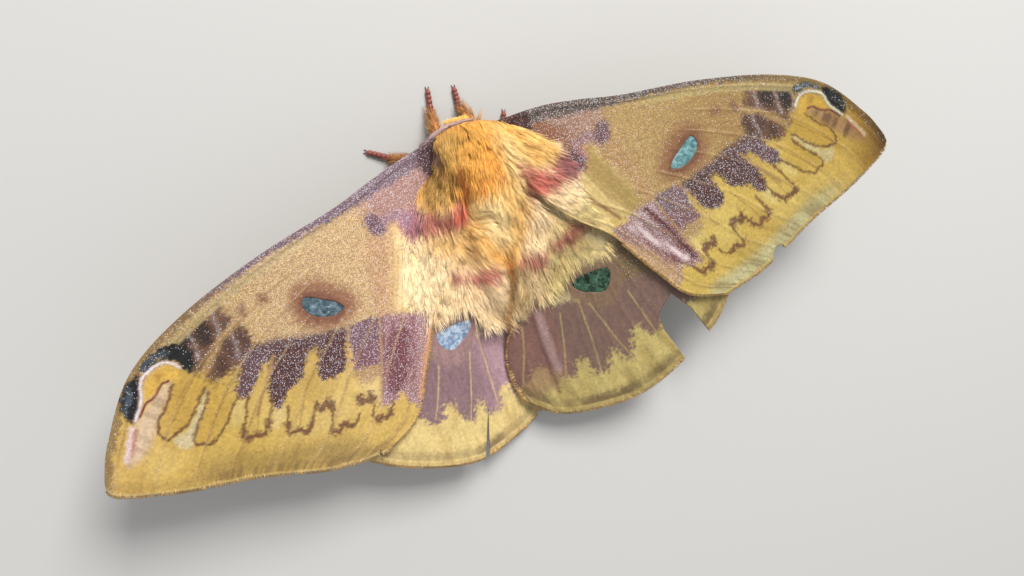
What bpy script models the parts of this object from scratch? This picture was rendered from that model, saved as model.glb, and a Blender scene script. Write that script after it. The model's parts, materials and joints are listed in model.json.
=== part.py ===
"""Rhodinia newara, a silk moth, life size, wings spread, standing on its six feet.

Lengths in the text are millimetres. X is the moth's right, +Y its head, +Z up.
Wing outlines are given flat: x runs outward from the body's middle line and y
runs tailward from the collar. wing_place() then sweeps, arches and pitches them.
"""
import math
import random

import bmesh
import bpy
from mathutils import Vector

MM = 0.001
GAP = 0.3                    # clearance between touching pieces

# Stance: the plane of the wing roots over the floor
ROOT_HEIGHT = 7.5
PITCH = math.radians(4.0)    # tail end lower than the head
DIHEDRAL = math.radians(15.0)
CAMBER = 0.00224             # arch that levels the wings toward their tips, per mm
FORE_SWEEP = math.radians(6.2)
HIND_SWEEP = math.radians(3.7)
HIND_DROP = 1.2              # hindwings lie this far under the forewings
LEFT_UNDER = 1.7             # the left hindwing dips under the right one

# Wing plates
SHEET = 0.52                 # thickness of the membrane with its scales
COSTA_THICK = 0.9
VEIN_HIGH = 0.26
VEIN_HALF = 0.42

FORE_COSTA = [(4.0, 3.0), (10, 3.3), (20, 5.2), (30, 6.9), (40, 9.7), (47.5, 13.5), (52.5, 19.4), (55.3, 25.0)]
FORE_OUTER = [(55.3, 25.0), (52.5, 26.6), (47.5, 28.6), (40, 31.0), (32, 34.5), (25.5, 35.9)]
FORE_INNER = [(4.0, 10.0), (6.5, 15.0), (9.5, 18.8), (13.0, 22.3), (17.0, 28.8), (20.5, 33.8), (25.5, 35.9)]
FORE_VEINS = [(0.045, 0.0), (0.18, 0.42), (0.30, 0.44), (0.42, 0.46), (0.56, 0.44), (0.69, 0.40), (0.83, 0.0), (0.95, 0.0)]

HIND_COSTA = [(3.9, 8.0), (12, 10.5), (23, 16.5), (30.5, 27.0)]
HIND_OUTER = [(30.5, 27.0), (28.8, 33.2), (25.5, 38.0), (19.0, 42.3), (12.0, 44.9), (5.0, 44.8)]
HIND_INNER = {
    "left": [(4.0, 14.0), (4.1, 20.0), (4.5, 27.5), (3.0, 34.0), (1.6, 39.5), (0.8, 43.2)],
    "right": [(2.6, 14.0), (1.8, 20.0), (0.6, 27.0), (-3.0, 31.5), (-4.2, 36.0), (-3.6, 40.3)],
}
HIND_CORNER = {"left": [(0.8, 43.2)], "right": [(0.2, 43.6), (-3.6, 40.3)]}
HIND_VEINS = [(0.12, 0.40), (0.28, 0.42), (0.42, 0.44), (0.51, 0.44), (0.60, 0.44), (0.69, 0.40), (0.79, 0.0), (0.92, 0.0)]

# Clear windows of the wings, as drop shapes: middle, half length, half width, turn of the long axis
FORE_WINDOW = ((25.4, 15.2), 2.5, 1.6, math.radians(-20))
HIND_WINDOW = ((10.1, 27.3), 2.7, 1.6, math.radians(5))

# Wear of this moth's wings: each a wedge cut in from the margin, in the wing's own frame
HIND_TEARS = {
    "left": [[(11.4, 46.5), (8.9, 38.9), (12.4, 46.5)]],
    "right": [[(20.5, 45.0), (17.6, 37.0), (17.5, 34.6), (20.0, 32.4), (22.2, 35.4), (24.6, 41.5)]],
}

# Body: stations along Y with half width, half height and height of the middle over the floor
BODY_STATIONS = [
    (-1.45, 1.2, 0.4, 7.9), (-1.75, 2.3, 0.9, 7.9), (-2.3, 3.3, 1.6, 7.8), (-3.2, 4.0, 2.5, 7.5), (-4.6, 4.4, 3.6, 7.1),
    (-7.0, 4.8, 4.3, 7.0), (-10.0, 4.7, 4.3, 6.9), (-12.6, 4.1, 3.8, 6.5), (-15.0, 3.4, 3.2, 6.0), (-18.0, 3.3, 3.1, 5.6),
    (-21.5, 3.1, 2.8, 5.2), (-24.5, 2.5, 2.3, 4.9), (-26.6, 1.5, 1.5, 4.8), (-27.6, 0.5, 0.5, 4.8),
]
HEAD_STATIONS = [            # the head is tucked under the front of the thorax
    (-1.35, 0.5, 0.5, 4.9), (-1.6, 1.1, 1.1, 4.9), (-2.2, 1.6, 1.5, 4.9), (-3.1, 1.8, 1.7, 4.9), (-4.0, 1.6, 1.5, 5.0),
    (-4.7, 0.7, 0.7, 5.1),
]
BODY_SIDES = 18
WAIST_Y = -15.2              # cut between thorax and abdomen

SOLE = 0.05                  # underside of a foot below this height is its flat on the floor

# Coat: rows of flat locks as (first y, last y, rows, locks in a row, spread of the row over the back, length)
COATS = {
    "head": (-2.9, -2.1, 2, 4, math.radians(70), 1.8),
    "thorax": (-2.4, -13.2, 5, 6, math.radians(110), 5.0),
    "abdomen": (-15.6, -25.0, 5, 5, math.radians(105), 5.4),
}
LOCK_WIDE = 1.4              # half width of a lock in the middle
LOCK_THICK = 0.42            # half thickness
LOCK_RISE = 1.35             # how far a lock's outer part stands off the core
PALP = ((0.5, -2.0, 4.2), (0.65, -1.0, 3.9), (0.6, -0.5, 4.0))
COAT_SEED = 11

EYE_PLACE = (1.55, -2.7, 4.9)
EYE_RADIUS = 0.8


def curve_point(points, t):
    """Catmull-Rom curve through points, t from 0 to 1 by the length of their chords."""
    ends = [Vector(p) for p in points]
    chords = [(b - a).length for a, b in zip(ends, ends[1:])]
    want = min(max(t, 0.0), 1.0) * sum(chords)
    k = 0
    while k < len(chords) - 1 and want > chords[k]:
        want -= chords[k]
        k += 1
    s = min(want / chords[k], 1.0)
    a = ends[k - 1] if k > 0 else ends[k] * 2 - ends[k + 1]
    b, c = ends[k], ends[k + 1]
    d = ends[k + 2] if k + 2 < len(ends) else c * 2 - b
    return 0.5 * ((2 * b) + (c - a) * s + (2 * a - 5 * b + 4 * c - d) * s * s + (3 * b - a - 3 * c + d) * s ** 3)


def ramp(a, b, t):
    s = min(max((t - a) / (b - a), 0.0), 1.0)
    return s * s * (3 - 2 * s)


def wing_place(x, y, side, sweep, lift=0.0):
    """Point of a flat wing, in the moth's frame: side is +1 right, -1 left."""
    turn = sweep if side < 0 else -sweep
    out = math.cos(turn) * x - math.sin(turn) * y
    back = math.sin(turn) * x + math.cos(turn) * y
    high = math.tan(DIHEDRAL) * out - CAMBER * out * out + lift
    return Vector((
        side * out,
        -back * math.cos(PITCH) - high * math.sin(PITCH),
        -back * math.sin(PITCH) + high * math.cos(PITCH) + ROOT_HEIGHT,
    ))


def hind_lift(x, y, side):
    """Drop of a hindwing under the forewing, and of the left one under the right one."""
    lift = -HIND_DROP
    if side < 0:
        lift -= LEFT_UNDER * ramp(21.0, 31.0, y) * (1 - ramp(4.5, 14.0, x))
    return lift


def coons(front, rear, outer, u, v):
    """Flat point of a wing: u from root to margin, v from the front edge to the rear edge."""
    root0, root1 = Vector(front[0]), Vector(rear[0])
    c0, c1 = curve_point(front, u), curve_point(rear, u)
    d0, d1 = root0.lerp(root1, v), curve_point(outer, v)
    corners = ((1 - u) * (1 - v) * root0 + (1 - u) * v * root1
               + u * (1 - v) * Vector(outer[0]) + u * v * Vector(outer[-1]))
    return (1 - v) * c0 + v * c1 + (1 - u) * d0 + u * d1 - corners


def wing_columns(veins):
    """Columns across a wing as (v, vein number or None, side of its ridge)."""
    columns = [(0.0, None, 0)]
    last = 0.0
    for k, (v, _) in enumerate(veins):
        if v - last > 0.1:
            columns.append(((v + last) / 2, None, 0))
        columns += [(v, k, -1), (v, k, 0), (v, k, 1)]
        last = v
    if 1.0 - last > 0.1:
        columns.append(((1.0 + last) / 2, None, 0))
    columns.append((1.0, None, 0))
    return columns


def mesh_object(name, points, faces):
    mesh = bpy.data.meshes.new(name)
    mesh.from_pydata([Vector(p) * MM for p in points], [], faces)
    obj = bpy.data.objects.new(name, mesh)
    bpy.context.scene.collection.objects.link(obj)
    bm = bmesh.new()
    bm.from_mesh(mesh)
    bmesh.ops.triangulate(bm, faces=[f for f in bm.faces if len(f.verts) > 4])
    bmesh.ops.recalc_face_normals(bm, faces=bm.faces)
    bm.to_mesh(mesh)
    bm.free()
    return obj


def wing_plate(name, side, sweep, front, outer, rear, veins, rows, lift):
    """A wing as a thin plate, with each main vein a ridge in its upper face."""
    columns = wing_columns(veins)
    wide = len(columns)
    top, bottom = [], []
    for i in range(rows):
        u = (i / (rows - 1)) ** 0.9
        edge0, edge1 = coons(front, rear, outer, u, 0.0), coons(front, rear, outer, u, 1.0)
        span = (edge1 - edge0).length
        reach = min(VEIN_HALF / span, 0.022)
        for v, k, part in columns:
            flat = coons(front, rear, outer, u, v + part * reach)
            rise = 0.0
            if k is not None and part == 0:
                rise = VEIN_HIGH * ramp(veins[k][1] - 0.02, veins[k][1] + 0.06, u) * (1.2 - 0.6 * u)
            half = SHEET / 2 + (COSTA_THICK - SHEET) / 2 * (1 - ramp(0.0, 0.05, v)) * (1 - 0.6 * u)
            base = lift(flat.x, flat.y, side)
            top.append(wing_place(flat.x, flat.y, side, sweep, base + half + rise))
            bottom.append(wing_place(flat.x, flat.y, side, sweep, base - half))
    size = len(top)
    faces = []
    for i in range(rows - 1):
        for j in range(wide - 1):
            a, b = i * wide + j, i * wide + j + 1
            c, d = a + wide, b + wide
            faces += [(a, b, d), (a, d, c)]
            faces += [(size + a, size + d, size + b), (size + a, size + c, size + d)]
    rim = [j for j in range(wide)] + [(i + 1) * wide + wide - 1 for i in range(rows - 1)]
    rim += [(rows - 1) * wide + j for j in reversed(range(wide - 1))]
    rim += [i * wide for i in reversed(range(1, rows - 1))]
    for a, b in zip(rim, rim[1:] + rim[:1]):
        faces += [(a, size + b, b), (a, size + a, size + b)]
    return mesh_object(name, top + bottom, faces)


def prism(name, outline, side, sweep, low=-4.0, high=4.0):
    """Upright cutter over a flat outline on a wing."""
    count = len(outline)
    points = [wing_place(x, y, side, sweep, -HIND_DROP / 2) + Vector((0, 0, h)) for h in (low, high) for x, y in outline]
    faces = [tuple(range(count)), tuple(range(2 * count - 1, count - 1, -1))]
    faces += [(k, (k + 1) % count, count + (k + 1) % count, count + k) for k in range(count)]
    obj = mesh_object(name, points, faces)
    return obj


def drop_outline(window, shrink=0.0, count=14):
    """Drop-shaped outline, blunt outward and pointed inward."""
    (cx, cy), long, wide, turn = window
    outline = []
    for k in range(count):
        a = 2 * math.pi * k / count
        x = (long - shrink) * math.cos(a)
        y = (wide - shrink) * math.sin(a) * (0.78 + 0.22 * math.cos(a))
        outline.append((cx + x * math.cos(turn) - y * math.sin(turn), cy + x * math.sin(turn) + y * math.cos(turn)))
    return outline


def window_pane(name, window, side, sweep, lift):
    """Clear pane that fills a wing's window, clear of its edge by the gap."""
    outline = drop_outline(window, GAP)
    count = len(outline)
    (cx, cy) = window[0]
    points = []
    for half in (SHEET / 2 - 0.05, -SHEET / 2 + 0.05):
        points += [wing_place(x, y, side, sweep, lift(x, y, side) + half) for x, y in outline]
        points.append(wing_place(cx, cy, side, sweep, lift(cx, cy, side) + half))
    faces = []
    low = count + 1
    for k in range(count):
        n = (k + 1) % count
        faces += [(k, n, count), (low + n, low + k, low + count), (k, low + k, low + n, n)]
    return mesh_object(name, points, faces)


def tube(name, path, radii, sides=8, flat=1.0):
    """Closed tube along a path; its first ring has a level underside."""
    spots = [Vector(p) for p in path]
    points = []
    across = None
    for k, spot in enumerate(spots):
        ahead = spots[min(k + 1, len(spots) - 1)] - spots[max(k - 1, 0)]
        ahead.normalize()
        if across is None:
            across = ahead.cross(Vector((0, 0, 1))).normalized()
        across = (across - ahead * across.dot(ahead)).normalized()
        up = across.cross(ahead)
        for j in range(sides):
            a = 2 * math.pi * (j + 0.5) / sides
            points.append(spot + radii[k] * (across * math.cos(a) + up * math.sin(a) * flat))
    faces = []
    for k in range(len(spots) - 1):
        for j in range(sides):
            n = (j + 1) % sides
            faces.append((k * sides + j, k * sides + n, (k + 1) * sides + n, (k + 1) * sides + j))
    last = (len(spots) - 1) * sides
    faces.append(tuple(range(sides - 1, -1, -1)))
    faces.append(tuple(last + j for j in range(sides)))
    return mesh_object(name, points, faces)


def leg(name, tip, ankle, knee, hip, thick):
    """Leg from its foot to the body: five-jointed tarsus flat on the floor, tibia, femur."""
    tip, ankle, knee, hip = Vector(tip), Vector(ankle), Vector(knee), Vector(hip)
    path, radii = [], []
    joints = 5
    for k in range(joints):
        for share, swell in ((0.08, 0.30), (0.80, 0.38)):
            r = swell + 0.02 * k
            spot = tip.lerp(ankle, (k + share) / joints)
            path.append(Vector((spot.x, spot.y, r * math.cos(math.pi / 8))))
            radii.append(r)
    ankle_up = Vector((ankle.x, ankle.y, 0.62))
    for share, r in ((0.0, 0.42), (0.25, 0.55), (0.6, 0.75), (1.0, 0.55)):
        path.append(ankle_up.lerp(knee, share))
        radii.append(r * thick)
    for share, r in ((0.22, 0.7), (0.6, 0.8), (1.0, 0.62)):
        path.append(knee.lerp(hip, share))
        radii.append(r * thick)
    limb = tube(name, path, radii)
    for v in limb.data.vertices:
        if v.co.z < SOLE * MM:
            v.co.z = 0.0
    return limb


def ball(name, middle, radius, rings=8, sides=12):
    mesh = bpy.data.meshes.new(name)
    obj = bpy.data.objects.new(name, mesh)
    bpy.context.scene.collection.objects.link(obj)
    bm = bmesh.new()
    bmesh.ops.create_uvsphere(bm, u_segments=sides, v_segments=rings, radius=radius * MM)
    bmesh.ops.translate(bm, verts=bm.verts, vec=Vector(middle) * MM)
    bm.to_mesh(mesh)
    bm.free()
    return obj


def body_section(table, y):
    """Half width, half height and middle height of a core at y."""
    if y >= table[0][0]:
        return table[0][1:]
    for a, b in zip(table, table[1:]):
        if y >= b[0]:
            s = (a[0] - y) / (a[0] - b[0])
            return tuple(p + (q - p) * s for p, q in zip(a[1:], b[1:]))
    return table[-1][1:]


def body_point(table, y, angle, out=0.0):
    """Point on a core: angle 0 is the top, positive toward the moth's right."""
    wide, high, middle = body_section(table, y)
    return Vector(((wide + out) * math.sin(angle), y, middle + (high + out) * math.cos(angle)))


def core(name, table):
    points, faces = [], []
    rings = len(table)
    for y, *_ in table:
        points += [body_point(table, y, 2 * math.pi * (k + 0.5) / BODY_SIDES) for k in range(BODY_SIDES)]
    for i in range(rings - 1):
        for k in range(BODY_SIDES):
            n = (k + 1) % BODY_SIDES
            a, b = i * BODY_SIDES, (i + 1) * BODY_SIDES
            faces.append((a + k, a + n, b + n, b + k))
    faces.append(tuple(range(BODY_SIDES)))
    faces.append(tuple((rings - 1) * BODY_SIDES + k for k in reversed(range(BODY_SIDES))))
    return mesh_object(name, points, faces)


def lock(table, y, angle, length, lean, way, wide, rise):
    """One flat, tapered lock that leaves the core at a slant and bends along the body."""
    spine = ((-0.12, -0.55, 0.8), (0.22, 0.30, 1.0), (0.55, 0.85, 0.8), (0.82, 1.05, 0.45))
    points = []
    for share, lift, width in spine:
        here = body_point(table, y - way * share * length, angle + lean * share, rise * lift)
        ahead = body_point(table, y - way * (share + 0.1) * length, angle + lean * (share + 0.1), rise * lift)
        wide_way = body_point(table, y - way * share * length, angle + lean * share + 0.05, rise * lift) - here
        run = (ahead - here).normalized()
        across = (wide_way - run * wide_way.dot(run)).normalized()
        out = across.cross(run).normalized()
        half, thick = wide * width, LOCK_THICK * (0.5 + 0.5 * width)
        points += [here + across * half, here + out * thick, here - across * half, here - out * thick]
    points.append(body_point(table, y - way * length, angle + lean, rise * 1.15))
    faces = [(3, 2, 1, 0)]
    for k in range(len(spine) - 1):
        for j in range(4):
            n = (j + 1) % 4
            faces.append((4 * k + j, 4 * k + n, 4 * k + 4 + n, 4 * k + 4 + j))
    last = 4 * (len(spine) - 1)
    faces += [(last + j, last + (j + 1) % 4, len(points) - 1) for j in range(4)]
    return mesh_object("lock", points, faces)


def coat(names, table, way):
    """The locks of the named parts, in overlapping rows along the lie of the hair."""
    draw = random.Random(COAT_SEED)
    locks = []
    for name in names:
        first, last, rows, across, spread, length = COATS[name]
        for row in range(rows):
            y = first + (last - first) * row / (rows - 1)
            count = across - row % 2
            for k in range(count):
                angle = spread * (2 * k / (count - 1) - 1) + draw.uniform(-0.06, 0.06)
                reach = length * draw.uniform(0.85, 1.15) * (0.72 if row == rows - 1 else 1.0)
                wide = LOCK_WIDE * (0.55 if name == "head" else 1.0) * draw.uniform(0.9, 1.1)
                rise = LOCK_RISE * (0.5 if name == "head" else draw.uniform(0.8, 1.15))
                rise *= 0.75 if name == "thorax" and row == rows - 1 else 1.0
                locks.append(lock(table, y + draw.uniform(-0.4, 0.4) * (way > 0), angle, reach,
                                  draw.uniform(-0.12, 0.12) + 0.10 * angle, way, wide, rise))
    return locks


def feeler(name, side):
    """Feathered antenna, bent back under the front edge of the forewing."""
    route = [(1.0, -1.9, 5.9), (2.2, -2.1, 5.9), (3.5, -3.0, 5.8), (5.0, -4.6, 5.7), (7.5, -7.1, 6.0), (10.0, -10.2, 6.5)]
    route = [(side * x, y, z) for x, y, z in route]
    count = 12
    shaft_path = [curve_point(route, k / (count - 1)) for k in range(count)]
    radii = [0.34 - 0.10 * k / (count - 1) for k in range(count)]
    shaft = tube(name, shaft_path, radii, sides=6)
    rays = []
    pairs = 7
    for k in range(pairs):
        t = 0.40 + 0.55 * k / (pairs - 1)
        root = curve_point(route, t)
        ahead = (curve_point(route, t + 0.02) - root).normalized()
        across = ahead.cross(Vector((0, 0, 1))).normalized()
        length = 1.45 * (1 - 0.6 * abs(k / (pairs - 1) - 0.35))
        for way in (-1, 1):
            lean = (across * way + ahead * 0.55).normalized()
            path = [root - lean * 0.05, root + lean * length * 0.5, root + lean * length + ahead * 0.15]
            rays.append(tube(name + "_ray", path, [0.25, 0.24, 0.10], sides=4))
    join(shaft, rays)
    return shaft


def bool_with(obj, others, operation, solver="EXACT"):
    """Apply one Boolean of obj with a collection of closed meshes, and remove them."""
    group = bpy.data.collections.new("tools")
    bpy.context.scene.collection.children.link(group)
    for other in others:
        bpy.context.scene.collection.objects.unlink(other)
        group.objects.link(other)
    mod = obj.modifiers.new("join", "BOOLEAN")
    mod.operation = operation
    mod.operand_type = "COLLECTION"
    mod.collection = group
    mod.solver = solver
    bpy.context.view_layer.update()
    shape = bpy.data.meshes.new_from_object(obj.evaluated_get(bpy.context.evaluated_depsgraph_get()))
    obj.modifiers.clear()
    obj.data = shape
    for other in list(group.objects):
        bpy.data.objects.remove(other, do_unlink=True)
    bpy.data.collections.remove(group)


def join(obj, others, solver="MANIFOLD"):
    bool_with(obj, others, "UNION", solver)


def cut(obj, others, solver="MANIFOLD"):
    bool_with(obj, others, "DIFFERENCE", solver)


def grown(obj, by):
    """Copy of a closed piece with every face moved out, as the cutter for its seat."""
    copy = bpy.data.objects.new(obj.name + "_seat", obj.data.copy())
    bpy.context.scene.collection.objects.link(copy)
    bm = bmesh.new()
    bm.from_mesh(copy.data)
    bm.normal_update()
    moved = [v.co + v.normal * (min(v.calc_shell_factor(), 1.6) * by * MM) for v in bm.verts]
    for v, place in zip(bm.verts, moved):
        v.co = place
    bm.to_mesh(copy.data)
    bm.free()
    return copy


def keep_largest(obj):
    """Drop every closed surface but the largest."""
    bm = bmesh.new()
    bm.from_mesh(obj.data)
    bmesh.ops.triangulate(bm, faces=bm.faces)
    bmesh.ops.dissolve_degenerate(bm, dist=1e-7, edges=bm.edges)
    left = set(bm.faces)
    shells = []
    while left:
        seed = left.pop()
        shell, front = [seed], [seed]
        while front:
            face = front.pop()
            for edge in face.edges:
                for other in edge.link_faces:
                    if other in left:
                        left.remove(other)
                        shell.append(other)
                        front.append(other)
        shells.append(shell)
    shells.sort(key=lambda s: sum(f.calc_area() for f in s), reverse=True)
    spare = [f for s in shells[1:] for f in s]
    bmesh.ops.delete(bm, geom=spare, context="FACES")
    bm.to_mesh(obj.data)
    bm.free()


def slab(name, y0, y1):
    """Box that holds the length of the body from y0 forward to y1."""
    size = 40.0
    points = [(x, y, z) for x in (-size, size) for y in (y0, y1) for z in (-5.0, size)]
    faces = [(0, 1, 3, 2), (4, 6, 7, 5), (0, 4, 5, 1), (2, 3, 7, 6), (0, 2, 6, 4), (1, 5, 7, 3)]
    return mesh_object(name, points, faces)


def paint(obj, color, roughness, metallic=0.0):
    material = bpy.data.materials.new(obj.name)
    material.use_nodes = True
    shader = material.node_tree.nodes["Principled BSDF"]
    shader.inputs["Base Color"].default_value = (*color, 1.0)
    shader.inputs["Roughness"].default_value = roughness
    shader.inputs["Metallic"].default_value = metallic
    obj.data.materials.clear()
    obj.data.materials.append(material)


OCHRE = (0.62, 0.36, 0.10)
GOLD = (0.68, 0.42, 0.12)
SAFFRON = (0.70, 0.36, 0.10)
PALE_YELLOW = (0.72, 0.58, 0.28)
RUST = (0.28, 0.09, 0.05)
GLASS_GREEN = (0.45, 0.62, 0.58)
BLACK_BROWN = (0.02, 0.012, 0.01)

LEGS = {
    "leg_front_left": ((-1.65, 4.3, 0), (-2.05, 1.2, 0), (-2.6, -1.5, 3.1), (-1.7, -4.8, 3.3), 0.9),
    "leg_front_right": ((1.98, 3.7, 0), (1.9, 1.0, 0), (2.6, -1.5, 3.1), (1.7, -4.8, 3.3), 0.9),
    "leg_middle_left": ((-11.9, -1.7, 0), (-9.2, -3.2, 0), (-6.4, -4.4, 3.9), (-2.2, -6.2, 3.6), 0.9),
    "leg_middle_right": ((8.0, -1.1, 0), (6.9, -3.9, 0), (5.9, -5.4, 3.9), (2.2, -6.4, 3.6), 0.9),
    "leg_hind_left": ((-8.6, -21.6, 0), (-7.3, -18.0, 0), (-5.6, -12.8, 3.9), (-2.2, -10.2, 3.6), 1.0),
    "leg_hind_right": ((8.6, -21.2, 0), (7.3, -17.6, 0), (5.6, -12.6, 3.9), (2.2, -10.2, 3.6), 1.0),
}


def build_wings():
    hard = []
    panes = []
    for side, word in ((-1, "left"), (1, "right")):
        fore = wing_plate("forewing_" + word, side, FORE_SWEEP, FORE_COSTA, FORE_OUTER, FORE_INNER,
                          FORE_VEINS, 13, lambda x, y, s: 0.0)
        cut(fore, [prism("hole", drop_outline(FORE_WINDOW), side, FORE_SWEEP)])
        outer = HIND_OUTER + HIND_CORNER[word]
        hind = wing_plate("hindwing_" + word, side, HIND_SWEEP, HIND_COSTA, outer, HIND_INNER[word],
                          HIND_VEINS, 11, hind_lift)
        tears = [prism("tear", tear, side, HIND_SWEEP) for tear in HIND_TEARS[word]]
        cut(hind, [prism("hole", drop_outline(HIND_WINDOW), side, HIND_SWEEP)] + tears)
        paint(fore, OCHRE, 0.75)
        paint(hind, GOLD, 0.75)
        hard += [fore, hind]
        panes.append(window_pane("window_forewing_" + word, FORE_WINDOW, side, FORE_SWEEP, lambda x, y, s: 0.0))
        panes.append(window_pane("window_hindwing_" + word, HIND_WINDOW, side, HIND_SWEEP, hind_lift))
    for pane in panes:
        paint(pane, GLASS_GREEN, 0.12)
    return hard, panes


def build_limbs():
    limbs = []
    for name, (tip, ankle, knee, hip, thick) in LEGS.items():
        limb = leg(name, tip, ankle, knee, hip, thick)
        paint(limb, RUST, 0.6)
        limbs.append(limb)
    for side, word in ((-1, "left"), (1, "right")):
        antenna = feeler("antenna_" + word, side)
        paint(antenna, SAFFRON, 0.7)
        limbs.append(antenna)
        x, y, z = EYE_PLACE
        eye = ball("eye_" + word, (side * x, y, z), EYE_RADIUS)
        paint(eye, BLACK_BROWN, 0.2)
        limbs.append(eye)
    return limbs


def build_body(neighbours):
    """Head set against the thorax, and one body form parted by a thin cut into thorax and abdomen."""
    whole = core("body", BODY_STATIONS)
    head = core("head", HEAD_STATIONS)
    palps = [tube("palp", [(side * x, y, z) for x, y, z in PALP], [0.4, 0.36, 0.2]) for side in (-1, 1)]
    join(head, coat(["head"], HEAD_STATIONS, -1) + palps)
    cut(head, [grown(other, GAP + 0.03) for other in neighbours + [whole]])
    keep_largest(head)
    paint(head, SAFFRON, 0.85)
    join(whole, coat(["thorax", "abdomen"], BODY_STATIONS, 1))
    parts = (
        ("thorax", WAIST_Y + GAP / 2, 10.0, SAFFRON),
        ("abdomen", -40.0, WAIST_Y - GAP / 2, PALE_YELLOW),
    )
    made = [head]
    for name, y0, y1, color in parts:
        piece = bpy.data.objects.new(name, whole.data.copy())
        bpy.context.scene.collection.objects.link(piece)
        bool_with(piece, [slab("slab", y0, y1)], "INTERSECT", "MANIFOLD")
        cut(piece, [grown(other, GAP + 0.03) for other in neighbours])
        keep_largest(piece)
        paint(piece, color, 0.85)
        made.append(piece)
    bpy.data.objects.remove(whole, do_unlink=True)
    return made


def stand_on_origin(objects):
    """Move all so that the middle of the whole, at floor level, is the origin."""
    corners = [obj.matrix_world @ v.co for obj in objects for v in obj.data.vertices]
    low = Vector([min(c[k] for c in corners) for k in range(3)])
    high = Vector([max(c[k] for c in corners) for k in range(3)])
    shift = Vector((-(low.x + high.x) / 2, -(low.y + high.y) / 2, -low.z))
    for obj in objects:
        for v in obj.data.vertices:
            v.co += shift


for old in list(bpy.data.objects):
    bpy.data.objects.remove(old, do_unlink=True)

wings, panes = build_wings()
limbs = build_limbs()
body = build_body(wings + limbs)
stand_on_origin(wings + panes + limbs + body)
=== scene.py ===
"""Looks of the silk moth: scaled wings with their markings, woolly hair, eyes, feelers and feet.

Lengths are millimetres in the moth's own frame, as in the part's source: X is its right, +Y its
head, +Z up, with the collar at y = 0 before the whole is set on the origin. A wing is drawn flat,
x outward from the body and y tailward. Tones are written as 0 to 255 display values.
"""
import json
import math

import bpy
import numpy as np
from mathutils import Matrix, Vector

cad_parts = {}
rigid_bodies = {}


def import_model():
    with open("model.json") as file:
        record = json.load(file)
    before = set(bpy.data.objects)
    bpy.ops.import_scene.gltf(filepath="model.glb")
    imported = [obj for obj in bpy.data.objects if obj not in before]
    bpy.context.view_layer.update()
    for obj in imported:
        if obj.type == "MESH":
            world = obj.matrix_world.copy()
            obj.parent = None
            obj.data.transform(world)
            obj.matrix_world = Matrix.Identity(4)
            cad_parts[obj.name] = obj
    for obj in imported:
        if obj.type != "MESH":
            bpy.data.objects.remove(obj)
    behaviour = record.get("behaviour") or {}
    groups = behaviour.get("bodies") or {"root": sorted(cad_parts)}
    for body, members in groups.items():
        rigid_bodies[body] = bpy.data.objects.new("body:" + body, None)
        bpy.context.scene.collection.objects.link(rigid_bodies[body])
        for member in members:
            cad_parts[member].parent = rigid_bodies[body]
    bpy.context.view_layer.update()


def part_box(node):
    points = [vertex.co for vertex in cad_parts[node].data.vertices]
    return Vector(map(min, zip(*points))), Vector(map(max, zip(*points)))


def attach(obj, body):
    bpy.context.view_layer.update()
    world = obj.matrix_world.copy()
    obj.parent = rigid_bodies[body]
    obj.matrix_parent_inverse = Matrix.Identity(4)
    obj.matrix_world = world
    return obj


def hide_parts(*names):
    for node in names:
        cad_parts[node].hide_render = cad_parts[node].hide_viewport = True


MM = 0.001

# Stance and wing planes, as in the part's source
ROOT_HEIGHT = 7.5
PITCH = math.radians(4.0)
DIHEDRAL = math.radians(15.0)
CAMBER = 0.00224
FORE_SWEEP = math.radians(6.2)
HIND_SWEEP = math.radians(3.7)
HIND_DROP = 1.2
LEFT_UNDER = 1.7

FORE_ROOT = {"left": [(4.0, 1.9), (9.6, 2.75)], "right": [(4.0, 2.7), (9.6, 2.9)]}
FORE_COSTA = [(14.4, 3.8), (20, 5.2), (30, 6.9), (40, 9.7), (47.5, 13.5), (52.5, 19.4), (54.5, 22.9), (55.0, 24.4)]
FORE_OUTER = [(55.0, 24.4), (54.7, 25.3), (53.9, 25.9), (52.5, 26.6), (47.5, 28.6), (40, 31.0), (32, 34.5), (25.5, 35.9)]
FORE_INNER = [(4.0, 10.0), (6.5, 15.0), (9.5, 18.8), (13.0, 22.3), (17.0, 28.8), (20.5, 33.8), (25.5, 35.9)]
FORE_VEINS = [(0.045, 0.0), (0.18, 0.42), (0.30, 0.44), (0.42, 0.46), (0.56, 0.44), (0.69, 0.40), (0.83, 0.0),
              (0.95, 0.0)]
HIND_COSTA = [(3.9, 8.0), (12, 10.5), (23, 16.5), (30.5, 27.0)]
HIND_OUTER = [(30.5, 27.0), (28.8, 33.2), (25.5, 38.0), (19.0, 42.3), (12.0, 44.9), (5.0, 44.8)]
HIND_INNER = {
    "left": [(4.0, 14.0), (3.4, 20.0), (2.4, 27.5), (2.0, 34.0), (1.6, 39.5), (0.8, 43.2)],
    "right": [(2.6, 14.0), (1.8, 20.0), (0.6, 27.0), (-3.0, 31.5), (-4.2, 36.0), (-3.6, 40.3)],
}
HIND_CORNER = {"left": [(0.8, 43.2)], "right": [(0.2, 43.6), (-3.6, 40.3)]}
HIND_VEINS = [(0.12, 0.40), (0.28, 0.42), (0.42, 0.44), (0.51, 0.44), (0.60, 0.44), (0.69, 0.40), (0.79, 0.0),
              (0.92, 0.0)]

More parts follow.
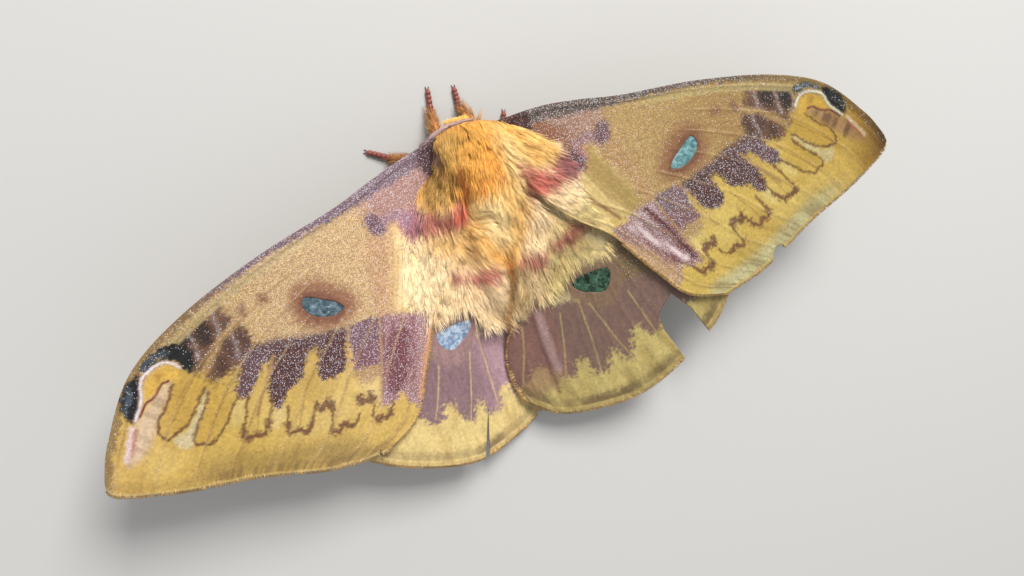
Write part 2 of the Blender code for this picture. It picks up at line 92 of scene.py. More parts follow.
# Openings and wear, as flat outlines
FORE_WINDOW = [(23.3, 16.6), (23.9, 15.6), (25.2, 14.6), (26.4, 13.8), (27.2, 13.5), (27.7, 14.4), (27.3, 15.6),
               (26.2, 16.5), (24.6, 17.0)]
HIND_WINDOW = [(7.3, 26.7), (8.3, 26.0), (9.8, 25.8), (11.6, 25.8), (12.5, 26.0), (12.7, 26.9), (12.2, 28.2),
               (11.2, 29.0), (9.9, 28.7), (8.3, 28.0)]
TEARS = {
    "forewing_left": [[(41.9, 31.8), (42.0, 30.2), (42.6, 31.6)], [(26.2, 37.2), (26.1, 35.0), (27.0, 36.9)]],
    "forewing_right": [[(33.0, 35.6), (33.5, 33.3), (34.1, 32.4), (35.3, 32.5), (36.2, 34.6)]],
    "hindwing_left": [[(11.4, 46.5), (8.9, 38.9), (12.4, 46.5)]],
    "hindwing_right": [[(20.5, 45.0), (17.6, 37.0), (17.5, 34.6), (20.0, 32.4), (22.2, 35.4), (24.6, 41.5)]],
}

# Wing sheets
SHEET_TOP = 0.10             # upper face over the wing's middle surface
SHEET_LOW = 0.20             # lower face under it
VEIN_HIGH = 0.10
VEIN_REACH = 0.20
BLOCK = 4                    # cells of the upper grid in one cell of the lower face

# Body and head: stations along Y with half width, half height and height of the middle
BODY_STATIONS = [
    (-1.45, 1.2, 0.4, 7.9), (-1.75, 2.3, 0.9, 7.9), (-2.3, 3.3, 1.6, 7.8), (-3.2, 4.0, 2.5, 7.5), (-4.6, 4.4, 3.6, 7.1),
    (-7.0, 4.8, 4.3, 7.0), (-10.0, 4.7, 4.3, 6.9), (-12.6, 4.1, 3.8, 6.5), (-15.0, 3.4, 3.2, 6.0), (-18.0, 3.3, 3.1, 5.6),
    (-21.5, 3.1, 2.8, 5.2), (-24.5, 2.5, 2.3, 4.9), (-26.6, 1.5, 1.5, 4.8), (-27.6, 0.5, 0.5, 4.8),
]
HEAD_STATIONS = [
    (-1.35, 0.5, 0.5, 4.9), (-1.6, 1.1, 1.1, 4.9), (-2.2, 1.6, 1.5, 4.9), (-3.1, 1.8, 1.7, 4.9), (-4.0, 1.6, 1.5, 5.0),
    (-4.7, 0.7, 0.7, 5.1),
]
PALP = ((0.5, -2.0, 4.2), (0.65, -1.0, 3.9), (0.6, -0.5, 4.0))
SKIN_INSET = 0.35            # the skin lies this far inside the solid core
EYE_PLACE = (1.55, -2.7, 4.9)
EYE_RADIUS = 0.8
PATCH = 0.003                # size of one strand on its coat's unwrap


def tone(red, green, blue):
    """Linear colour of a display value."""
    share = np.array([red, green, blue]) / 255.0
    return np.where(share <= 0.04045, share / 12.92, ((share + 0.055) / 1.055) ** 2.4)


GOLD_HAIR = tone(255, 192, 88)
CREAM_HAIR = tone(255, 216, 140)
PALE_HAIR = tone(255, 231, 186)
OLIVE_HAIR = tone(236, 184, 96)
RUST_CLEFT_SHADE = tone(196, 112, 44)
ROSE_HAIR = tone(204, 132, 114)
PALE_SCALE = tone(236, 202, 152)
ROSE = tone(206, 106, 90)
RUST = tone(120, 66, 58)
GOLD = tone(222, 178, 94)
OCHRE = tone(228, 188, 134)
FROST = tone(214, 206, 216)
SPECK = tone(106, 60, 38)


# Shared sums


def ease(t):
    return t * t * (3 - 2 * t)


def ramp(a, b, t):
    return ease(np.clip((t - a) / (b - a), 0.0, 1.0))


def unit(v):
    return v / np.maximum(np.linalg.norm(v, axis=-1, keepdims=True), 1e-12)


def curve_points(points, t):
    """Catmull-Rom curve through points, for each t from 0 to 1 by the length of its chords."""
    ends = np.asarray(points, float)
    chords = np.linalg.norm(np.diff(ends, axis=0), axis=1)
    starts = np.concatenate([[0.0], np.cumsum(chords)])
    along = np.clip(t, 0.0, 1.0) * starts[-1]
    k = np.clip(np.searchsorted(starts, along) - 1, 0, len(chords) - 1)
    s = np.clip((along - starts[k]) / chords[k], 0.0, 1.0)[..., None]
    padded = np.vstack([2 * ends[0] - ends[1], ends, 2 * ends[-1] - ends[-2]])
    a, b, c, d = padded[k], padded[k + 1], padded[k + 2], padded[k + 3]
    return 0.5 * (2 * b + (c - a) * s + (2 * a - 5 * b + 4 * c - d) * s ** 2 + (3 * b - a - 3 * c + d) * s ** 3)


def smooth_line(points, per=6):
    return curve_points(points, np.linspace(0.0, 1.0, per * (len(points) - 1) + 1))


def smooth_ring(points, per=5):
    """Closed smooth outline through points, without the repeated end."""
    loop = np.asarray(list(points) + list(points[:3]), float)
    line = smooth_line(loop, per)
    chords = np.linalg.norm(np.diff(loop, axis=0), axis=1)
    share = np.linspace(0.0, 1.0, len(line)) * chords.sum()
    first, last = chords[0], chords[:-1].sum()
    return line[(share >= first) & (share < last)]


def edge_distance(x, y, line, closed):
    """Distance to a polyline, negative inside a closed one, with the nearest point."""
    best = np.full(x.shape, 1e9)
    near_x, near_y = x.copy(), y.copy()
    within = np.zeros(x.shape, bool)
    ends = np.vstack([line, line[:1]]) if closed else np.asarray(line, float)
    for (ax, ay), (bx, by) in zip(ends[:-1], ends[1:]):
        dx, dy = bx - ax, by - ay
        t = np.clip(((x - ax) * dx + (y - ay) * dy) / max(dx * dx + dy * dy, 1e-12), 0.0, 1.0)
        px, py = ax + t * dx, ay + t * dy
        gap = np.hypot(x - px, y - py)
        closer = gap < best
        best = np.where(closer, gap, best)
        near_x, near_y = np.where(closer, px, near_x), np.where(closer, py, near_y)
        if closed and ay != by:
            within ^= ((ay > y) != (by > y)) & (x < ax + (y - ay) * dx / dy)
    return np.where(within, -best, best), near_x, near_y


def lattice(ix, iy, seed):
    """Repeatable random share for each whole-number place."""
    h = (ix * 374761393 + iy * 668265263 + seed * 974634777) & 0xFFFFFFFF
    h = ((h ^ (h >> 13)) * 1274126177) & 0xFFFFFFFF
    return ((h ^ (h >> 16)) & 0xFFFFFF) / 0xFFFFFF


def noise(x, y, cell, seed=0):
    """Smooth noise from -1 to 1 with cells of the given size."""
    gx, gy = x / cell, y / cell
    ix, iy = np.floor(gx).astype(np.int64), np.floor(gy).astype(np.int64)
    fx, fy = ease(gx - ix), ease(gy - iy)
    top = lattice(ix, iy, seed) * (1 - fx) + lattice(ix + 1, iy, seed) * fx
    low = lattice(ix, iy + 1, seed) * (1 - fx) + lattice(ix + 1, iy + 1, seed) * fx
    return 2 * (top * (1 - fy) + low * fy) - 1


def blend(a, b, share):
    return a + (b - a) * np.asarray(share)[..., None]


# Placing


def wing_place(x, y, side, sweep, lift):
    """Points of a flat wing in the moth's frame: side is +1 right, -1 left."""
    turn = sweep if side < 0 else -sweep
    out = math.cos(turn) * x - math.sin(turn) * y
    back = math.sin(turn) * x + math.cos(turn) * y
    high = math.tan(DIHEDRAL) * out - CAMBER * out * out + lift
    return np.stack([
        side * out,
        -back * math.cos(PITCH) - high * math.sin(PITCH),
        -back * math.sin(PITCH) + high * math.cos(PITCH) + ROOT_HEIGHT,
    ], axis=-1)


def no_lift(x, y, side):
    return np.zeros_like(x)


def hind_lift(x, y, side):
    lift = np.full_like(x, -HIND_DROP)
    if side < 0:
        lift = lift - LEFT_UNDER * ramp(21.0, 31.0, y) * (1 - ramp(4.5, 14.0, x))
    return lift


def body_section(table, y):
    rows = np.array(table[::-1])
    return tuple(np.interp(y, rows[:, 0], rows[:, k]) for k in (1, 2, 3))


def body_point(table, y, angle, out=0.0):
    """Point on a core: angle 0 is the top, positive toward the moth's right."""
    wide, high, middle = body_section(table, y)
    return np.stack([(wide + out) * np.sin(angle), y + 0 * angle, middle + (high + out) * np.cos(angle)], axis=-1)


def flat_place(x, y, sweep):
    """Where a point seen from above lies on the flat wing of its own side, with its height and way back."""
    out = np.abs(x)
    high = math.tan(DIHEDRAL) * out - CAMBER * out * out
    back = (-y - high * math.sin(PITCH)) / math.cos(PITCH)
    turn = np.where(x < 0, sweep, -sweep)
    return np.cos(turn) * out + np.sin(turn) * back, np.cos(turn) * back - np.sin(turn) * out, high, back


def hair_floor(x, y):
    """Height of what the hair lies on, seen from above: the back of the body or the base of a wing."""
    fore_x, fore_y, high, back = flat_place(x, y, FORE_SWEEP)
    inner = np.array(FORE_INNER)
    drop = HIND_DROP * ramp(-0.5, 0.7, fore_y - np.interp(fore_x, inner[:, 0], inner[:, 1]))
    hind_x, hind_y, _, _ = flat_place(x, y, HIND_SWEEP)
    drop = drop + 0.4 * LEFT_UNDER * ramp(21.0, 31.0, hind_y) * (1 - ramp(4.5, 14.0, hind_x)) * (x < 0)
    wing = (high - drop) * math.cos(PITCH) - back * math.sin(PITCH) + ROOT_HEIGHT + SHEET_TOP
    wide, tall, middle = body_section(BODY_STATIONS, y)
    inside = 1 - (x / wide) ** 2
    body = np.where(inside > 0, middle + tall * np.sqrt(np.maximum(inside, 0.0)) - SKIN_INSET, -9.0)
    blur = 1.0
    share = np.clip(0.5 + (body - wing) / (2 * blur), 0.0, 1.0)
    return wing + (body - wing) * share + blur * share * (1 - share)


# Meshes


def make_piece(name, points, faces, material, replaced=(), tones=None, dust=None, loop_uv=None):
    """Object from points in mm and a list of face arrays, each array with faces of one size."""
    mesh = bpy.data.meshes.new(name)
    corners = np.concatenate([np.asarray(block).ravel() for block in faces]).astype(np.int32)
    sizes = np.concatenate([np.full(len(block), np.shape(block)[1]) for block in faces])
    mesh.vertices.add(len(points))
    mesh.vertices.foreach_set("co", ((points + SHIFT) * MM).astype(np.float32).ravel())
    mesh.loops.add(len(corners))
    mesh.loops.foreach_set("vertex_index", corners)
    mesh.polygons.add(len(sizes))
    mesh.polygons.foreach_set("loop_start", (np.cumsum(sizes) - sizes).astype(np.int32))
    mesh.update(calc_edges=True)
    mesh.polygons.foreach_set("use_smooth", np.ones(len(sizes), bool))
    for label, values in (("coat", tones), ("dust", dust)):
        if values is not None:
            layer = mesh.color_attributes.new(name=label, type="FLOAT_COLOR", domain="POINT")
            layer.data.foreach_set("color", np.c_[values, np.ones(len(values))].astype(np.float32).ravel())
    if loop_uv is not None:
        layer = mesh.uv_layers.new(name="OFBake")
        layer.data.foreach_set("uv", np.asarray(loop_uv, np.float32).ravel())
    mesh.validate()
    piece = bpy.data.objects.new(name, mesh)
    bpy.context.scene.collection.objects.link(piece)
    mesh.materials.append(material)
    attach(piece, "root")
    if replaced:
        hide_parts(*replaced)
    return piece


def strand_piece(name, lines, radius, tones, patch, material, outward=(0.13, 0.21, 1.0), flat=0.45):
    """Closed, tapered, three-sided strands as one piece.

    lines is (strands, stations, 3) with the tip last, radius (strands, stations - 1),
    tones (strands, stations, 3) and patch (strands, 2), the root's place on the unwrapped skin.
    The strands' broad faces look outward.
    """
    count, stations, _ = lines.shape
    run = unit(np.gradient(lines, axis=1))
    side = unit(np.cross(run, outward))
    lift = np.cross(side, run)
    rings = []
    for turn in (math.pi / 2, math.pi * 7 / 6, math.pi * 11 / 6):
        way = side * math.cos(turn) + lift * math.sin(turn) * flat
        rings.append(lines[:, :-1] + way[:, :-1] * radius[..., None])
    ring_points = np.stack(rings, axis=2).reshape(count, -1, 3)
    points = np.concatenate([ring_points, lines[:, -1:]], axis=1)
    per = points.shape[1]
    shades = np.concatenate([np.repeat(tones[:, :-1], 3, axis=1), tones[:, -1:]], axis=1)
    quads = [(3 * k + j, 3 * k + (j + 1) % 3, 3 * k + 3 + (j + 1) % 3, 3 * k + 3 + j)
             for k in range(stations - 2) for j in range(3)]
    last = 3 * (stations - 2)
    tips = [(last + j, last + (j + 1) % 3, per - 1) for j in range(3)] + [(2, 1, 0)]
    start = (np.arange(count) * per)[:, None, None]
    quads = (np.array(quads)[None] + start).reshape(-1, 4)
    tips = (np.array(tips)[None] + start).reshape(-1, 3)
    spot = np.array([(k / stations, j / 3) for k in range(stations - 1) for j in range(3)] + [(1.0, 0.5)]) * PATCH
    uv = (patch[:, None] * (1 - PATCH) + spot[None]).reshape(-1, 2)
    corners = np.concatenate([quads.ravel(), tips.ravel()])
    return make_piece(name, points.reshape(-1, 3), [quads, tips], material,
                      tones=shades.reshape(-1, 3), loop_uv=uv[corners])


# Materials


def new_material(name, roughness, sheen=0.0, specular=0.5):
    material = bpy.data.materials.new(name)
    material.use_nodes = True
    shader = material.node_tree.nodes["Principled BSDF"]
    shader.inputs["Roughness"].default_value = roughness
    shader.inputs["Sheen Weight"].default_value = sheen
    shader.inputs["Sheen Roughness"].default_value = 0.4
    shader.inputs["Specular IOR Level"].default_value = specular
    return material


def add(material, kind, **settings):
    """New node with its properties and input values set; a tuple (node, socket) links an input."""
    tree = material.node_tree
    node = tree.nodes.new(kind)
    for key, value in settings.items():
        if not key.startswith("in_"):
            setattr(node, key, value)
    for key, value in settings.items():
        if key.startswith("in_"):
            name = key[3:]
            socket = node.inputs[int(name)] if name.isdigit() else node.inputs[name.replace("_", " ")]
            if isinstance(value, tuple) and isinstance(value[0], bpy.types.Node):
                tree.links.new(value[0].outputs[value[1]], socket)
            else:
                socket.default_value = value
    return node


def mix_tones(material, share, first, second, mode="MIX"):
    node = add(material, "ShaderNodeMix", data_type="RGBA", blend_type=mode)
    tree = material.node_tree
    for socket, value in ((0, share), (6, first), (7, second)):
        if isinstance(value, tuple) and isinstance(value[0], bpy.types.Node):
            tree.links.new(value[0].outputs[value[1]], node.inputs[socket])
        elif socket == 0:
            node.inputs[socket].default_value = value
        else:
            node.inputs[socket].default_value = (*value, 1.0)
    return (node, 2)


def feed(material, socket, source):
    shader = material.node_tree.nodes["Principled BSDF"]
    material.node_tree.links.new(source[0].outputs[source[1]], shader.inputs[socket])


def maths(material, operation, first, second):
    return (add(material, "ShaderNodeMath", operation=operation, in_0=first, in_1=second), 0)


def scale_dots(material, place, per_metre, share, reach):
    """Mask of single scales: cells of a pattern drawn where a random share is under the painted one."""
    cells = add(material, "ShaderNodeTexVoronoi", in_Vector=place, in_Scale=per_metre)
    pick = add(material, "ShaderNodeSeparateColor", in_Color=(cells, 1))
    chosen = maths(material, "LESS_THAN", (pick, 0), share)
    core = maths(material, "LESS_THAN", (cells, 0), reach)
    return maths(material, "MULTIPLY", chosen, core), cells


def wing_material():
    """Scaled membrane: painted ground, dark and white single scales, fine grain and scale relief."""
    material = new_material("wing_scales", 0.6, sheen=0.08, specular=0.25)
    coat = add(material, "ShaderNodeAttribute", attribute_name="coat")
    dust = add(material, "ShaderNodeAttribute", attribute_name="dust")
    parts = add(material, "ShaderNodeSeparateColor", in_Color=(dust, 0))
    place = add(material, "ShaderNodeTexCoord")
    dark, cells = scale_dots(material, (place, 3), 8600.0, (parts, 0), 0.55)
    white, _ = scale_dots(material, (place, 3), 9600.0, (parts, 1), 0.50)
    grain = add(material, "ShaderNodeTexNoise", in_Vector=(place, 3), in_Scale=2600.0, in_Detail=4.0)
    spread = add(material, "ShaderNodeMapRange", in_0=(grain, 0), in_1=0.3, in_2=0.7, in_3=0.84, in_4=1.14)
    ground = mix_tones(material, 1.0, (coat, 0), (spread, 0), "MULTIPLY")
    speckled = mix_tones(material, maths(material, "MULTIPLY", dark, 0.62), ground, SPECK)
    feed(material, "Base Color", mix_tones(material, maths(material, "MULTIPLY", white, 0.5), speckled, FROST))
    height = maths(material, "MULTIPLY_ADD", (cells, 0), -0.8)
    material.node_tree.links.new(grain.outputs[0], height[0].inputs[2])
    bump = add(material, "ShaderNodeBump", in_Strength=0.35, in_Distance=0.00008, in_Height=height)
    feed(material, "Normal", (bump, 0))
    return material


def coat_material(name, roughness, sheen, grain_scale, relief):
    """Hair, skin or shell: painted ground with fine grain and relief."""
    material = new_material(name, roughness, sheen=sheen, specular=0.25)
    coat = add(material, "ShaderNodeAttribute", attribute_name="coat")
    place = add(material, "ShaderNodeTexCoord")
    grain = add(material, "ShaderNodeTexNoise", in_Vector=(place, 3), in_Scale=grain_scale, in_Detail=3.0)
    spread = add(material, "ShaderNodeMapRange", in_0=(grain, 0), in_1=0.3, in_2=0.7, in_3=0.86, in_4=1.12)
    feed(material, "Base Color", mix_tones(material, 1.0, (coat, 0), (spread, 0), "MULTIPLY"))
    if relief:
        bump = add(material, "ShaderNodeBump", in_Strength=0.5, in_Distance=relief, in_Height=(grain, 0))
        feed(material, "Normal", (bump, 0))
    return material


def pane_material(name, light, deep, clear):
    """Bare membrane of a wing's window, with fine creases that catch the light; its base colour is a painted
    reflection, mixed from a dark and a light tone along the creases as painted glints.
    """
    material = new_material(name, 0.22, specular=0.6)
    shader = material.node_tree.nodes["Principled BSDF"]
    shader.inputs["Transmission Weight"].default_value = clear
    shader.inputs["IOR"].default_value = 1.3
    place = add(material, "ShaderNodeTexCoord")
    creases = add(material, "ShaderNodeTexNoise", in_Vector=(place, 3), in_Scale=1300.0, in_Detail=5.0,
                  in_Distortion=0.8)
    share = add(material, "ShaderNodeMapRange", in_0=(creases, 0), in_1=0.38, in_2=0.66, in_3=0.0, in_4=1.0)
    feed(material, "Base Color", mix_tones(material, (share, 0), deep, light))
    bump = add(material, "ShaderNodeBump", in_Strength=0.8, in_Distance=0.0002, in_Height=(creases, 0))
    feed(material, "Normal", (bump, 0))
    return material


def eye_material():
    material = new_material("eye_facets", 0.16, specular=0.7)
    shader = material.node_tree.nodes["Principled BSDF"]
    shader.inputs["Coat Weight"].default_value = 0.4
    place = add(material, "ShaderNodeTexCoord")
    facets = add(material, "ShaderNodeTexVoronoi", in_Vector=(place, 3), in_Scale=22000.0)
    shade = add(material, "ShaderNodeTexNoise", in_Vector=(place, 3), in_Scale=1500.0)
    feed(material, "Base Color", mix_tones(material, (shade, 0), tone(18, 13, 12), tone(64, 40, 30)))
    bump = add(material, "ShaderNodeBump", in_Strength=0.6, in_Distance=0.00002, in_Height=(facets, 0))
    feed(material, "Normal", (bump, 0))
    return material


# Painting of the wings


class Sheet:
    """Ground tone, dark scales and white scales of one wing face, laid on layer by layer."""

    def __init__(self, x, y, ground, seed):
        self.x, self.y = x, y
        self.tone = np.ones(x.shape + (3,)) * ground
        self.speck = np.zeros(x.shape)
        self.frost = np.zeros(x.shape)
        fine = noise(x, y, 0.32, seed) + 0.6 * noise(x, y, 0.16, seed + 1)
        fine_y = noise(x, y, 0.32, seed + 2) + 0.6 * noise(x, y, 0.16, seed + 3)
        self.rough_x, self.rough_y = fine, fine_y

    def region(self, points, soft, rough=0.25, shut=True):
        """Share of each point inside an outline, or near an open line, with a ragged, soft edge."""
        line = smooth_ring(points) if shut else smooth_line(points)
        reach = soft + 1.0
        low, high = line.min(axis=0) - reach, line.max(axis=0) + reach
        near = (self.x > low[0]) & (self.x < high[0]) & (self.y > low[1]) & (self.y < high[1])
        x = self.x[near] + rough * self.rough_x[near]
        y = self.y[near] + rough * self.rough_y[near]
        gap, _, _ = edge_distance(x, y, line, shut)
        return near, gap

    def lay(self, share, ground=None, speck=None, frost=None):
        if ground is not None:
            self.tone = blend(self.tone, ground, share)
        if speck is not None:
            self.speck += (speck - self.speck) * share
        if frost is not None:
            self.frost += (frost - self.frost) * share

    def fill(self, points, soft, ground=None, speck=None, frost=None, rough=0.25, strength=1.0):
        near, gap = self.region(points, soft, rough)
        share = np.zeros(self.x.shape)
        share[near] = strength * (1 - ramp(-soft, soft, gap))
        self.lay(share, ground, speck, frost)

    def draw(self, points, half, soft, ground=None, speck=None, frost=None, rough=0.08, strength=1.0):
        near, gap = self.region(points, half + soft, rough, shut=False)
        share = np.zeros(self.x.shape)
        share[near] = strength * (1 - ramp(half - soft / 2, half + soft, gap))
        self.lay(share, ground, speck, frost)

    def spot(self, middle, radii, turn, soft, ground=None, speck=None, frost=None, strength=1.0):
        count = 10
        turns = np.arange(count) * 2 * math.pi / count
        c, s = math.cos(math.radians(turn)), math.sin(math.radians(turn))
        a, b = radii[0] * np.cos(turns), radii[1] * np.sin(turns)
        ring = [(middle[0] + c * p - s * q, middle[1] + s * p + c * q) for p, q in zip(a, b)]
        self.fill(ring, soft, ground, speck, frost, strength=strength)


# Blocks of the forewing's dark band between its veins: outline, ground, dark scales, white scales
BAND_BLOCKS = [
    ([(19.8, 19.8), (22, 19.1), (24.1, 19.4), (24.6, 22), (25.0, 24.3), (23.4, 24.6), (21.7, 25.2), (20.9, 23.4)],
     tone(122, 86, 94), 0.35, 0.30),
    ([(24.6, 19.4), (27, 18.9), (28.5, 20.8), (29.2, 22.8), (28.5, 23.9), (27, 23.9), (25.8, 23.3), (25.1, 21.5)],
     tone(80, 48, 48), 0.35, 0.24),
    ([(28.4, 18.7), (31, 17.9), (33, 18.0), (34.3, 19.8), (35.2, 22), (35.2, 24.2), (34.2, 24.1), (33.0, 22.8),
      (31.5, 22.4), (30.4, 21.5), (29.4, 19.9)], tone(80, 50, 50), 0.35, 0.24),
    ([(33.2, 17.6), (35.5, 16.8), (37, 18.4), (38.3, 20), (38.2, 21.4), (36.9, 21.2), (35.6, 19.9), (34.4, 18.6)],
     tone(100, 70, 76), 0.35, 0.26),
]
BAND_CLOUD = [(20, 19.7), (25, 18.7), (28, 17.9), (31, 16.9), (34, 16.2), (36, 16.5), (36.4, 17.5), (33.5, 18.7),
              (30, 19.5), (25, 20.1), (20.5, 20.5)]
INNER_BLOCK = [(13, 21.6), (15, 21.3), (17.5, 20.3), (19.6, 19.7), (20.6, 21.6), (21.6, 24.5), (23, 28), (23.8, 30),
               (22.2, 30.4), (20.7, 29.8), (20.2, 31.6), (19.2, 32.4), (18, 30.4), (16.4, 27), (14.5, 24.4)]
PALE_FIELD = [(3.2, 13.8), (8, 13.1), (10.5, 12.9), (12, 12.2), (13, 10.8), (14.2, 10.6), (15.5, 13.5), (17.0, 16.5),
              (18.0, 19.2), (16.8, 20.2), (14.5, 20.9), (12.8, 21.4), (12.5, 24.0), (8, 22), (4, 17)]
ROSE_PATCH = [(3.6, 9.8), (7, 9.2), (10, 8.8), (12.2, 8.9), (13.0, 10.0), (13.0, 11.2), (12, 12.5), (10.5, 12.9),
              (8, 13.1), (6, 13.6), (4, 12.8)]
ARCH = [(42.6, 15.0), (43.0, 14.4), (43.5, 13.95), (44.2, 13.7), (45.0, 13.8), (45.8, 14.1), (46.5, 14.4),
        (47.0, 15.0), (47.3, 15.8), (47.6, 16.6), (48.1, 17.3), (48.7, 18.0), (49.2, 18.6)]
ARCH_GOLD = [(42.8, 15.9), (43.1, 14.9), (44.0, 14.2), (45.2, 14.2), (46.1, 14.7), (46.7, 15.6), (47.1, 16.8),
             (46.2, 16.6), (45.2, 15.9), (44.2, 15.8), (43.7, 16.4)]
FLAME = [(44.2, 16.2), (45.4, 16.3), (46.6, 17.1), (47.8, 18.0), (49.2, 18.9), (50.3, 20.2), (51.4, 21.8),
         (52.0, 23.0), (50.4, 22.8), (48.9, 21.8), (47.8, 20.6), (46.9, 19.4), (45.6, 18.0)]
BLACKS = {
    "left": [[(40.9, 14.6), (41.3, 13.2), (42.1, 12.3), (43.3, 12.0), (44.6, 12.4), (45.7, 12.9), (46.5, 13.7),
              (45.5, 13.9), (44.2, 13.4), (43.3, 13.7), (42.6, 14.5), (42.3, 15.6), (41.9, 16.3), (41.2, 15.6)],
             [(46.6, 14.1), (47.9, 14.2), (49.2, 15.2), (50.1, 16.8), (50.0, 18.2), (49.2, 18.6), (48.1, 17.2), (47.4, 15.8)]],
    "right": [[(42.6, 12.6), (43.8, 12.2), (45.6, 12.8), (46.8, 13.9), (45.6, 13.5), (44.4, 13.3), (43.2, 13.4)],
              [(46.9, 13.9), (48.1, 14.4), (49.3, 15.5), (50.1, 17.0), (49.9, 18.3), (49.0, 18.6), (48.0, 17.4),
               (47.4, 16.2), (47.0, 15.0)]],
}
PALE_FLAME = [(41.0, 18.7), (41.9, 19.3), (42.8, 20.2), (43.6, 21.0), (44.5, 21.7), (45.3, 22.2), (46.4, 22.2),
              (46.6, 22.9), (46.0, 23.9), (45.0, 24.0), (44.6, 23.2), (43.5, 21.9), (42.3, 20.6)]
# Thin dark outlines and middle lines of the looped cells
LOOPS = [
    [(43.9, 16.4), (44.6, 17.2), (45.4, 18.2), (46.2, 19.0), (46.8, 19.3), (47.3, 20.2), (47.6, 21.0), (47.4, 21.8),
     (46.9, 22.1), (46.0, 21.9), (45.1, 21.6), (44.3, 21.2), (43.5, 20.6), (42.8, 19.9), (42.2, 19.2), (41.2, 18.4)],
    [(41.1, 19.0), (41.8, 20.1), (42.8, 21.2), (43.6, 22.0), (44.3, 22.8), (44.8, 23.5), (44.6, 24.1), (44.0, 24.2),
     (43.5, 24.7), (42.8, 24.6), (42.0, 24.2), (41.2, 23.6), (40.5, 22.9), (39.8, 22.2), (39.2, 21.6), (38.5, 21.1)],
    [(37.5, 21.5), (38.3, 22.9), (38.9, 24.0), (39.5, 25.0), (39.8, 25.7), (39.4, 26.1), (38.7, 26.2), (38.2, 26.4), (37.7, 26.5),
     (37.2, 26.1), (36.6, 25.3), (36.0, 24.5), (35.3, 23.2), (34.7, 21.8)],
    [(33.8, 24.6), (34.3, 25.6), (34.8, 26.7), (35.1, 27.5), (34.6, 27.9), (33.8, 28.0), (33.2, 28.6), (32.5, 28.2),
     (32.0, 27.5), (31.5, 26.8), (31.0, 26.1)],
    [(29.4, 27.6), (29.9, 28.8), (30.4, 29.9), (30.1, 30.5), (29.6, 30.4), (29.2, 29.9), (28.7, 30.0), (28.3, 30.6),
     (27.4, 30.4), (26.6, 29.5)],
    [(24.7, 29.6), (25.2, 30.8), (24.9, 31.7), (24.2, 31.3), (23.7, 31.8), (22.9, 31.2), (22.2, 30.2)],
]
LOOP_VEINS = [
    [(42.0, 17.0), (43.5, 18.3), (45.0, 19.7), (46.5, 21.0), (47.2, 21.8)],
    [(38.6, 19.0), (40.2, 20.8), (41.6, 22.1), (43.0, 23.6), (43.6, 24.3)],
    [(36.0, 22.2), (37.0, 23.5), (37.8, 25.0), (38.2, 26.0)],
    [(30.8, 23.2), (32.0, 24.9), (33.0, 26.4), (33.7, 27.6)],
]
# Speckled blotches between the last loops
BLOTCHES = [
    [(28.8, 26.6), (29.4, 26.0), (30.1, 26.4), (30.8, 25.6), (31.1, 26.4), (30.7, 27.4), (29.8, 27.2), (29.3, 27.9)],
    [(24.0, 28.6), (24.5, 27.6), (25.2, 28.1), (25.9, 27.2), (26.4, 28.0), (26.0, 29.0), (25.2, 28.9), (24.6, 29.6)],
]
# Dark spots under the tip: middle, half sizes, tone
SPOTS = [
    ((36.4, 10.8), (0.6, 0.95), tone(128, 92, 74)),
    ((38.8, 12.4), (1.0, 1.6), tone(52, 38, 34)),
    ((41.4, 13.5), (0.95, 1.7), tone(40, 34, 34)),
    ((35.2, 14.9), (0.6, 1.1), tone(84, 58, 50)),
    ((37.1, 15.2), (0.6, 1.3), tone(88, 58, 56)),
    ((38.5, 17.0), (0.6, 1.1), tone(80, 50, 42)),
    ((31.4, 11.6), (0.8, 0.7), tone(160, 112, 78)),
    ((34.0, 11.9), (0.5, 0.9), tone(146, 102, 80)),
]


# Overall brightness of the forewings' tones from base to tip, left and right, with painted shade making the right wing
# darker and darkest at its tip: x, then shares of red, green and blue
FORE_BRIGHTNESS_AND_PAINTED_SHADE = [
    np.array([(4, 0.54, 0.58, 0.62), (14, 0.56, 0.61, 0.66), (30, 0.48, 0.53, 0.58), (40, 0.46, 0.50, 0.44), (47, 0.50, 0.54, 0.52),
              (55, 0.52, 0.56, 0.58)]),
    np.array([(4, 0.47, 0.53, 0.46), (16, 0.46, 0.53, 0.46), (40, 0.42, 0.48, 0.42), (48, 0.36, 0.38, 0.26),
              (52, 0.28, 0.28, 0.15), (55, 0.09, 0.07, 0.01)]),
]


